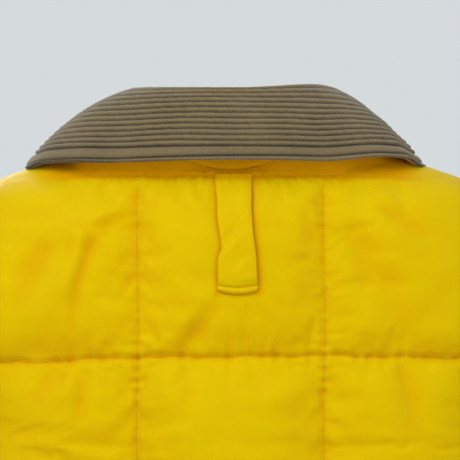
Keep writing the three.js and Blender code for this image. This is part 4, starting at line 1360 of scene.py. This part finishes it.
def stormFlap():
    c = closureCut
    reach, seam, face = c["flapReach"], c["flapSeam"], -c["flapFace"]
    path = [(reach, face + 2.4), (reach + 0.2, face + 1.0), (reach + 1.0, face + 0.25)]
    path += [(x, face) for x in np.linspace(reach + 2.4, seam - 3, 58)]
    path += [(seam - 1.4, face + 0.5), (seam - 0.3, face + 1.8), (seam, face + 4), (seam, face + 7.5),
             (seam, -1.2)]
    path = np.array(path)
    z = np.linspace(c["flapTop"], c["flapBottom"], 190)
    x, zz = np.broadcast_arrays(path[None, :, 0], z[:, None])
    y = np.broadcast_to(path[None, :, 1], x.shape).copy()
    lines = [reach + 4.5, reach + 9.5, seam - 5.5, seam - 10.5]
    gap = np.min([np.abs(x - at) for at in lines]
                 + [np.abs(zz - c["flapBottom"] - 6), np.abs(zz - c["flapTop"] + 6)], axis=0)
    relief = -0.7 * bell(gap, 1.1) - 0.3 + 0.3 * waves(x, zz, 46, 101)
    relief = relief + 0.28 * waves(zz, gap * 0.4, 8, 102) * np.exp(-gap / 4)
    ends = smooth(0, 2.5, zz - c["flapBottom"]) * smooth(0, 2.5, c["flapTop"] - zz)
    relief = relief - 0.8 * (1 - ends)
    onFace = smooth(face + 6, face + 1, y)
    points = np.stack([x, y - relief * onFace, zz], -1)
    # painted shade in the flap's stitch grooves and creases
    piece = clothGrid("stormFlap", onClosure(points) * mm, uv=np.stack([x, zz], -1) * mm,
                      marks={"hollow": paintedCreaseShade(relief, 3) * 0.8})
    thicken(piece, c["flapThickness"] * mm)
    finishPiece(piece, yellowCloth, "storm_flap", "shell", "storm_flap")
    rows = [np.array([[at, c["flapTop"] - 5], [at, c["flapBottom"] + 5]]) for at in lines]
    rows += [np.array([[reach + 6, at], [seam - 6, at]]) for at in (c["flapTop"] - 6, c["flapBottom"] + 6)]
    sewOn("stormFlapStitches", piece, rows, "storm_flap", facing=-1, pitch=3.4, length=2.3, size=0.6)


stormFlap()


# a box that is then shaped
def startBox(name, low, high):
    bpy.ops.object.select_all(action="DESELECT")
    bpy.ops.mesh.primitive_cube_add(size=1, location=(0, 0, 0))
    piece = bpy.context.object
    piece.name = name
    size, middle = (np.array(high) - low) * mm, (np.array(high) + low) / 2 * mm
    bpy.ops.object.mode_set(mode="EDIT")
    bpy.ops.mesh.select_all(action="SELECT")
    bpy.ops.transform.resize(value=tuple(size))
    bpy.ops.transform.translate(value=tuple(middle))
    bpy.ops.object.mode_set(mode="OBJECT")
    return piece


def startDisc(name, radius, depth, sidesRound=40):
    bpy.ops.object.select_all(action="DESELECT")
    bpy.ops.mesh.primitive_cylinder_add(radius=radius * mm, depth=depth * mm, vertices=sidesRound,
                                        location=(0, 0, 0))
    piece = bpy.context.object
    piece.name = name
    return piece


# selects the faces that face a way, then scales them, and insets and moves them in millimetres
def shapeFaces(piece, way, scale=None, steps=(), share=0.9):
    onlySelect(piece)
    bpy.ops.object.mode_set(mode="OBJECT")
    for part in (piece.data.vertices, piece.data.edges, piece.data.polygons):
        for one in part:
            one.select = False
    for face in piece.data.polygons:
        if face.normal.dot(Vector(way)) > share:
            face.select = True
    bpy.ops.object.mode_set(mode="EDIT")
    bpy.ops.mesh.select_mode(type="FACE")
    if scale:
        bpy.ops.transform.resize(value=scale)
    for inset, move in steps:
        if inset:
            bpy.ops.mesh.inset(thickness=inset * mm)
        bpy.ops.transform.translate(value=tuple(v * mm for v in move))
    bpy.ops.object.mode_set(mode="OBJECT")


def softenEdges(piece, width, segments=2):
    applyModifier(piece, "BEVEL", width=width * mm, segments=segments, limit_method="ANGLE",
                  angle_limit=math.radians(35))
    edgesSharp(piece, 35)


def zipTape(name, side):
    c = closureCut
    across = np.array([1.0, 1.4, 2.2, 3.0, 3.4, 4.2, 6, 8, 10, 12, 13.4, c["tapeWide"]])
    across = across if side > 0 else -across[::-1]
    z = np.linspace(c["tapeTop"], c["tapeBottom"], 157)
    x, zz = np.broadcast_arrays(across[None, :], z[:, None])
    cord = 0.5 * bell(np.abs(x) - 2.2, 1.0)
    y = -2.0 + 0.12 - cord + 0.1 * waves(x, zz, 30, 111)
    piece = clothGrid(name + "ZipTape", onClosure(np.stack([x, y, zz], -1)) * mm,
                      uv=np.stack([x, zz], -1) * mm)
    thicken(piece, c["tapeThickness"] * mm)
    finishPiece(piece, tapeCloth, name + "_front", "zip_tape", name + "_zip_tape")
    # one tooth, shaped and then repeated down the tape
    tooth = startBox(name + "ZipTeeth", (0.35, -3.9, -0.6), (2.9, -1.6, 0.6))
    shapeFaces(tooth, (-1, 0, 0), (1, 0.62, 0.7))
    shapeFaces(tooth, (0, -1, 0), steps=[(0.35, (0, -0.18, 0))], share=0.7)
    applyModifier(tooth, "BEVEL", width=0.14 * mm, segments=1, limit_method="ANGLE",
                  angle_limit=math.radians(35))
    drop = c["tapeTop"] - (2.0 if side > 0 else 2.0 + c["toothPitch"] / 2)
    tooth.data.transform(Matrix.Translation((0, 0, drop * mm)))
    count = int((drop - c["tapeBottom"]) / c["toothPitch"])
    applyModifier(tooth, "ARRAY", count=count, use_relative_offset=False, use_constant_offset=True,
                  constant_offset_displace=(0, 0, -c["toothPitch"] * mm))
    if side < 0:
        tooth.data.transform(Matrix.Scale(-1, 4, (1, 0, 0)))
        tooth.data.flip_normals()
    tooth.data.transform(closureMatrix())
    edgesSharp(tooth, 30)
    finishPiece(tooth, brassMetal, name + "_front", "brass")


for name, side in sides.items():
    zipTape(name, side)


guardCut = {"half": 6.5, "behind": 6.0, "thickness": 1.5}


# the guard behind the top of the zip, from its teeth up to the neck
def throatGuard():
    c = guardCut
    middle = bodyPoints(-90, np.linspace(0.02, 1.25, 26))
    x = np.linspace(-c["half"], c["half"], 9)
    points = np.stack(np.broadcast_arrays(x[None, :], middle[:, 1:2] + c["behind"], middle[:, 2:3]), -1)
    points = points + np.array([0, 1, 0]) * (0.25 * waves(points[..., 0], points[..., 2], 18, 97))[..., None]
    # the whole guard gets a fixed amount of painted shade, where it lies behind the flap
    piece = clothGrid("throatGuard", points * mm, uv=np.stack([points[..., 0], points[..., 2]], -1) * mm,
                      marks={"hollow": 0.7 + 0 * points[..., 0]})
    thicken(piece, c["thickness"] * mm)
    return finishPiece(piece, yellowCloth, "left_front", "shell")


throatGuard()


def zipSlider():
    piece = startBox("zipSlider", (-4.5, -5.7, -142), (4.5, -4.3, -129))
    shapeFaces(piece, (0, 0, -1), (0.7, 1, 1))
    shapeFaces(piece, (0, -1, 0), steps=[(1.2, (0, 0.25, 0))])
    softenEdges(piece, 0.45, 3)
    # the two lips that hold the teeth
    lips = []
    for side in (1, -1):
        low, high = sorted((side * 3.25, side * 4.5))
        lip = startBox("zipSliderLip", (low, -4.6, -141.6), (high, -2.4, -129.4))
        shapeFaces(lip, (0, 0, -1), steps=[(0, (-side * 0.9, 0, 0))])
        softenEdges(lip, 0.3, 2)
        lips.append(lip)
    # the bridge that the pull hangs from
    bridge = startBox("zipSliderBridge", (-1.1, -7.0, -138.5), (1.1, -5.5, -132.5))
    shapeFaces(bridge, (0, -1, 0), (0.8, 1, 0.6))
    softenEdges(bridge, 0.4, 3)
    onlySelect(piece)
    for part in (*lips, bridge):
        part.select_set(True)
    bpy.ops.object.join()
    piece.data.transform(closureMatrix())
    finishPiece(piece, brassMetal, "zip_slider", "brass", "zip_slider")


def zipPull():
    piece = startBox("zipPull", (-3, -7.1, -159.5), (3, -6.0, -135.5))
    shapeFaces(piece, (0, 0, 1), (0.7, 1, 1))
    applyModifier(piece, "BEVEL", width=0.9 * mm, segments=3, affect="EDGES", limit_method="ANGLE",
                  angle_limit=math.radians(60))
    shapeFaces(piece, (0, -1, 0), steps=[(0.7, (0, 0.3, 0))], share=0.99)
    edgesSharp(piece, 35)
    piece.data.transform(closureMatrix())
    finishPiece(piece, brassMetal, "zip_pull", "brass", "zip_pull")


zipSlider()
zipPull()
print("storm flap and zip made")

# clasps keep their solids, in worn steel, with rivets added

claspCut = {"rivetRadius": 2.1, "rivetRise": 1.1}


def rivet(name, place, body):
    piece = startDisc(name, claspCut["rivetRadius"], claspCut["rivetRise"], 24)
    shapeFaces(piece, (0, 0, 1), steps=[(0.55, (0, 0, 0.28)), (0.6, (0, 0, 0.12))])
    softenEdges(piece, 0.2, 2)
    # its head turned to face out of the coat's front
    placed = Matrix.Translation(Vector(place) * mm) @ Matrix.Rotation(math.pi / 2, 4, "X")
    piece.data.transform(closureMatrix() @ placed)
    finishPiece(piece, steelMetal, body, "steel")


for number in (1, 2, 3):
    for part in ("base", "pin", "lever", "catch"):
        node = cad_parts[f"clasp_{number}_{part}"]
        node.data.materials.clear()
        node.data.materials.append(steelMetal)
    low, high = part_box(f"clasp_{number}_base")
    middle = (low.z + high.z) / 2 / mm
    drop = middle / math.cos(closureCut["lean"]) - 0.4
    for k, up in enumerate((8.6, -8.6)):
        rivet(f"clasp{number}BaseRivet{k + 1}", (-6.6, -13.9, drop + up), "storm_flap")
        rivet(f"clasp{number}CatchRivet{k + 1}", (-66.2, -2.0, drop + up), "right_front")
print("clasps finished")

# pockets

pocketCut = {
    "middle": 124.0, "stand": 111.02, "turn": math.radians(8.5), "width": 112.0, "top": -600.0,
    "bottom": -748.0, "depth": 22.0, "thickness": 2.3, "flapOver": 4.0, "flapTop": -588.0,
    "flapDrop": 60.0, "flapFace": 29.0, "flapThickness": 3.8, "flapCorner": 13.0, "snapHeight": -632.0,
    "snapRadius": 7.0, "studRadius": 4.5,
}


def onPocket(points, side):
    c = pocketCut
    x, y = points[..., 0] - c["width"] / 2, points[..., 1]
    placed = np.stack([x * math.cos(c["turn"]) - y * math.sin(c["turn"]) + c["middle"],
                       x * math.sin(c["turn"]) + y * math.cos(c["turn"]) - c["stand"], points[..., 2]], -1)
    return placed if side > 0 else mirrored(placed)


# the coat's front in the pocket's own frame: how far the cloth is behind the pocket's flat
denseT = np.linspace(4, lastRing, 400)
denseZ = bodyPoints(-60, denseT)[:, 2]


def clothBehind(x, z):
    c = pocketCut
    y = np.zeros(np.broadcast(x, z).shape)
    for _ in range(4):
        placed = onPocket(np.stack(np.broadcast_arrays(x, y, z), -1), 1)
        t = np.interp(-placed[..., 2], -denseZ, denseT)
        ring = betweenStations(bodyRings, t)
        across = np.clip(np.abs(placed[..., 0]) / ring[..., 0], 0, 1)
        surface = -ring[..., 6] * (1 - across ** ring[..., 5]) ** (1 / ring[..., 5])
        y = y + (surface - placed[..., 1]) / math.cos(c["turn"])
    return y


# lines of stitches between corners given in the pocket's own frame
def pocketSeams(side, depth, corners):
    placed = onPocket(np.array([[(a, depth, b) for a, b in corners]]), 1)[0]
    return [placed[[k, k + 1]][:, [0, 2]] * [side, 1] for k in range(len(corners) - 1)]


def patchPocket(name, side):
    c = pocketCut
    wall = [(0, 0.0), (2.6, 0.3), (1.8, 0.55), (0.2, 0.75), (0, 0.88), (0.5, 0.96), (2, 1.0)]
    wide, tall = c["width"], c["top"] - c["bottom"]
    columns, rows = [wall + [(at, 1.0) for at in np.linspace(4.5, size - 4.5, count)]
                     + [(size - at, k) for at, k in wall[::-1]] for size, count in ((wide, 44), (tall, 58))]
    columns, rows = np.array(columns), np.array(rows)
    x, z = np.broadcast_arrays(columns[None, :, 0], c["top"] - rows[:, None, 0])
    k = np.minimum(columns[None, :, 1], rows[:, None, 1])
    u, v = x / wide * 2 - 1, (c["top"] - z) / tall * 2 - 1
    inset = np.minimum.reduce([x, wide - x, c["top"] - z, z - c["bottom"]])
    relief = 1.3 * (1 - u ** 4) * (1 - v ** 4) - 1.6 + 0.45 * waves(x, z, 44, 121 + side)
    relief = relief - 0.55 * bell(inset - 4.5, 1.1) - 0.45 * bell(inset - 9.5, 1.1)
    relief = relief + 0.3 * waves(x + z, inset * 0.4, 9, 124) * np.exp(-np.abs(inset - 7) / 6)
    # a soft slump where the pocket hangs below its middle
    relief = relief - 0.9 * bell(v - 0.15, 0.28) * (1 - u ** 2)
    y = mix(clothBehind(x, z) - 0.4, -c["depth"] - relief, k)
    # painted shade in the pocket's stitch grooves and creases
    piece = clothGrid(name + "Pocket", onPocket(np.stack([x, y, z], -1), side) * mm,
                      uv=np.stack([x, z], -1) * mm, marks={"hollow": paintedCreaseShade(relief * k, 2) * 0.7})
    thicken(piece, c["thickness"] * mm)
    finishPiece(piece, yellowCloth, name + "_front", "shell", name + "_pocket")
    lines = []
    for edge in (4.5, 9.5):
        corners = [(edge, c["top"] - 58), (edge, c["bottom"] + edge), (wide - edge, c["bottom"] + edge),
                   (wide - edge, c["top"] - 58)]
        lines += pocketSeams(side, -c["depth"], corners)
    sewOn(name + "PocketStitches", piece, lines, name + "_front", facing=-1, pitch=3.4, length=2.3, size=0.55)


def pocketFlap(name, side):
    c = pocketCut
    face, top, bottom = -c["flapFace"], c["flapTop"], c["flapTop"] - c["flapDrop"]
    path = [(k, top) for k in (0.0, 0.25, 0.5, 0.75, 0.93)] + [(0.985, top - 0.5), (1.0, top - 2.2)]
    path += [(1.0, z) for z in np.linspace(top - 5, bottom + 1.5, 30)]
    path += [(0.99, bottom + 0.4), (0.96, bottom)]
    path = np.array(path)
    u = np.concatenate([[0, 0.006], np.linspace(0.02, 0.98, 50), [0.994, 1]])
    k, z = np.broadcast_arrays(path[:, :1], path[:, 1:])
    k, z = np.broadcast_to(k, (len(path), len(u))), np.broadcast_to(z, (len(path), len(u)))
    corner = c["flapCorner"] * smooth(bottom + c["flapCorner"], bottom, z) ** 1.3
    x = mix(-c["flapOver"] + corner, c["width"] + c["flapOver"] - corner, u[None, :])
    inset = np.minimum.reduce([x + c["flapOver"] - corner, c["width"] + c["flapOver"] - corner - x,
                               z - bottom])
    hung = smooth(0.9, 1.0, k)
    relief = -0.55 * bell(inset - 4.5, 1.0) - 0.5 * bell(inset - 9, 1.0)
    relief = relief - 0.3 + 0.3 * waves(x, z, 36, 131 + side) - 0.9 * smooth(2.2, 0, inset)
    relief = relief + 0.25 * waves(x + z, inset * 0.4, 8, 134) * np.exp(-np.abs(inset - 6) / 5)
    start = clothBehind(x, z + 0 * x) - 0.2
    y = mix(start, face, k) - relief * hung
    # painted shade in the flap's stitch grooves and creases
    piece = clothGrid(name + "PocketFlap", onPocket(np.stack([x, y, z], -1), side) * mm,
                      uv=np.stack([x, z + y], -1) * mm, marks={"hollow": paintedCreaseShade(relief, 2) * 0.7})
    thicken(piece, c["flapThickness"] * mm)
    finishPiece(piece, yellowCloth, name + "_pocket_flap", "shell", name + "_pocket_flap")
    lines = []
    for edge in (4.5, 9):
        left, right, low = -c["flapOver"] + edge, c["width"] + c["flapOver"] - edge, bottom + edge
        cut = c["flapCorner"]
        lines += pocketSeams(side, face, [(left, top - 4), (left, low + cut), (left + cut, low),
                                          (right - cut, low), (right, low + cut), (right, top - 4)])
    sewOn(name + "PocketFlapStitches", piece, lines, name + "_pocket_flap", facing=-1, pitch=3.4, length=2.3,
          size=0.55)


def pocketMatrix(side, place):
    at = Vector(onPocket(np.array([[place]], float), side)[0, 0])
    turned = Matrix.Rotation(side * pocketCut["turn"], 4, "Z") @ Matrix.Rotation(math.pi / 2, 4, "X")
    return Matrix.Translation(at * mm) @ turned


def snapPart(name, side, radius, depth, face, body, node):
    piece = startDisc(name, radius, depth, 48)
    shapeFaces(piece, (0, 0, 1), steps=[(radius * share, (0, 0, rise)) for share, rise in
                                        ((0.14, 0.22), (0.2, -0.45), (0.22, 0.25))])
    softenEdges(piece, 0.28, 3)
    place = (pocketCut["width"] / 2, -face - depth / 2, pocketCut["snapHeight"])
    piece.data.transform(pocketMatrix(side, place))
    finishPiece(piece, steelMetal, body, "steel", node)


for name, side in sides.items():
    patchPocket(name, side)
    pocketFlap(name, side)
    snapPart(name + "SnapCap", side, pocketCut["snapRadius"], 1.8, pocketCut["flapFace"] + 0.2,
             name + "_pocket_flap", name + "_pocket_snap_cap")
    snapPart(name + "SnapStud", side, pocketCut["studRadius"], 2.0, pocketCut["depth"] + 0.3,
             name + "_front", name + "_pocket_snap_stud")
print("pockets made")

# cuff straps

strapCut = {"from": -32.0, "to": 36.0, "top": 6.72, "bottom": 6.9, "stand": 3.1, "thickness": 2.3}


def cuffStrap(name, side):
    c = strapCut
    u = np.concatenate([[0, 0.01], np.linspace(0.03, 0.97, 50), [0.99, 1]])[None, :]
    v = np.concatenate([[0, 0.02], np.linspace(0.06, 0.94, 20), [0.98, 1]])[:, None]
    # its free end is cut to a blunt point
    point = 0.32 * smooth(0.1, 0.0, u)
    v = mix(point, 1 - point, v)
    angle = mix(c["from"], c["to"], u) + 0 * v
    t = mix(c["top"], c["bottom"], v) + 0 * u
    base = sleevePoints(angle, t)
    inset = np.minimum(np.minimum(u, 1 - u) * 88, np.minimum(v, 1 - v) * 23) + 0 * t
    relief = -0.5 * bell(inset - 3, 0.9) - 0.8 * smooth(1.6, 0, inset)
    relief = relief - 0.4 * bell((u - 0.86) * 88, 1.0) - 0.4 * bell((u - 0.3) * 88, 1.0)
    relief = relief + 0.15 * waves(angle * 1.5, t * 130, 22, 141)
    points = base + gridNormals(base) * (c["stand"] + relief)[..., None]
    points = points if side > 0 else mirrored(points)
    uv = np.stack([angle * 1.3, t * 130], -1) * mm
    # painted shade in the strap's stitch grooves and along its edges
    piece = clothGrid(name + "CuffStrap", points * mm, uv=uv, marks={"hollow": paintedCreaseShade(relief, 2) * 0.7})
    thicken(piece, c["thickness"] * mm)
    finishPiece(piece, yellowCloth, name + "_cuff_strap", "shell", name + "_cuff_strap")


for name, side in sides.items():
    cuffStrap(name, side)
print("cuff straps made")

# light, floor and camera

studio = {
    "wall": (0.665, 0.70, 0.72), "wallLight": 1.0, "keyPower": 41.0, "fillPower": 5.0, "warmPower": 8.5,
    "floorGap": 0.03,
}


def softLight(name, place, target, size, power, colour=(1, 1, 1)):
    data = bpy.data.lights.new(name, "AREA")
    data.shape = "DISK"
    data.size = size
    data.energy = power
    data.color = colour
    lamp = bpy.data.objects.new(name, data)
    lamp.location = place
    lamp.rotation_euler = (Vector(target) - Vector(place)).to_track_quat("-Z", "Y").to_euler()
    bpy.context.scene.collection.objects.link(lamp)


softLight("keyLight", (0.9, 1.7, 1.6), (0, 0, -0.1), 1.6, studio["keyPower"])
softLight("fillLight", (-1.4, 1.2, 0.3), (0, 0, -0.2), 1.6, studio["fillPower"])
softLight("warmLight", (0.1, 2.4, -0.4), (0, 0, 0), 0.5, studio["warmPower"], (1, 0.72, 0.36))
softLight("frontLight", (0.8, -2.0, 1.2), (0, 0, -0.3), 1.6, studio["keyPower"] * 0.7)

world = bpy.data.worlds.new("studio")
world.use_nodes = True
world.node_tree.nodes["Background"].inputs["Color"].default_value = (*studio["wall"], 1)
world.node_tree.nodes["Background"].inputs["Strength"].default_value = studio["wallLight"]
bpy.context.scene.world = world
bpy.context.scene.view_settings.view_transform = "Standard"

onFloor = backLow.z - studio["floorGap"]
bpy.ops.object.select_all(action="DESELECT")
bpy.ops.mesh.primitive_plane_add(size=8, location=(0, 0, onFloor))
floor = bpy.context.object
floor.name = "floor"
floorFinish = Finish("paleFloor", roughness=0.8)
floorFinish.feed("Base Color", floorFinish.blendColours(
    floorFinish.noise(floorFinish.place(), 3, 2), (0.62, 0.64, 0.66), (0.68, 0.70, 0.72)))
floor.data.materials.append(floorFinish.material)

cameraCut = {"away": 3.2, "across": 0.443, "x": 0.0007, "z": -0.0587, "subject": 0.085}
cameraData = bpy.data.cameras.new("camera")
cameraData.sensor_width = 36
cameraData.lens = 36 * (cameraCut["away"] - cameraCut["subject"]) / cameraCut["across"]
camera = bpy.data.objects.new("camera", cameraData)
camera.location = (cameraCut["x"], cameraCut["away"], cameraCut["z"])
camera.rotation_euler = (math.radians(90), 0, math.radians(180))
bpy.context.scene.collection.objects.link(camera)
bpy.context.scene.camera = camera
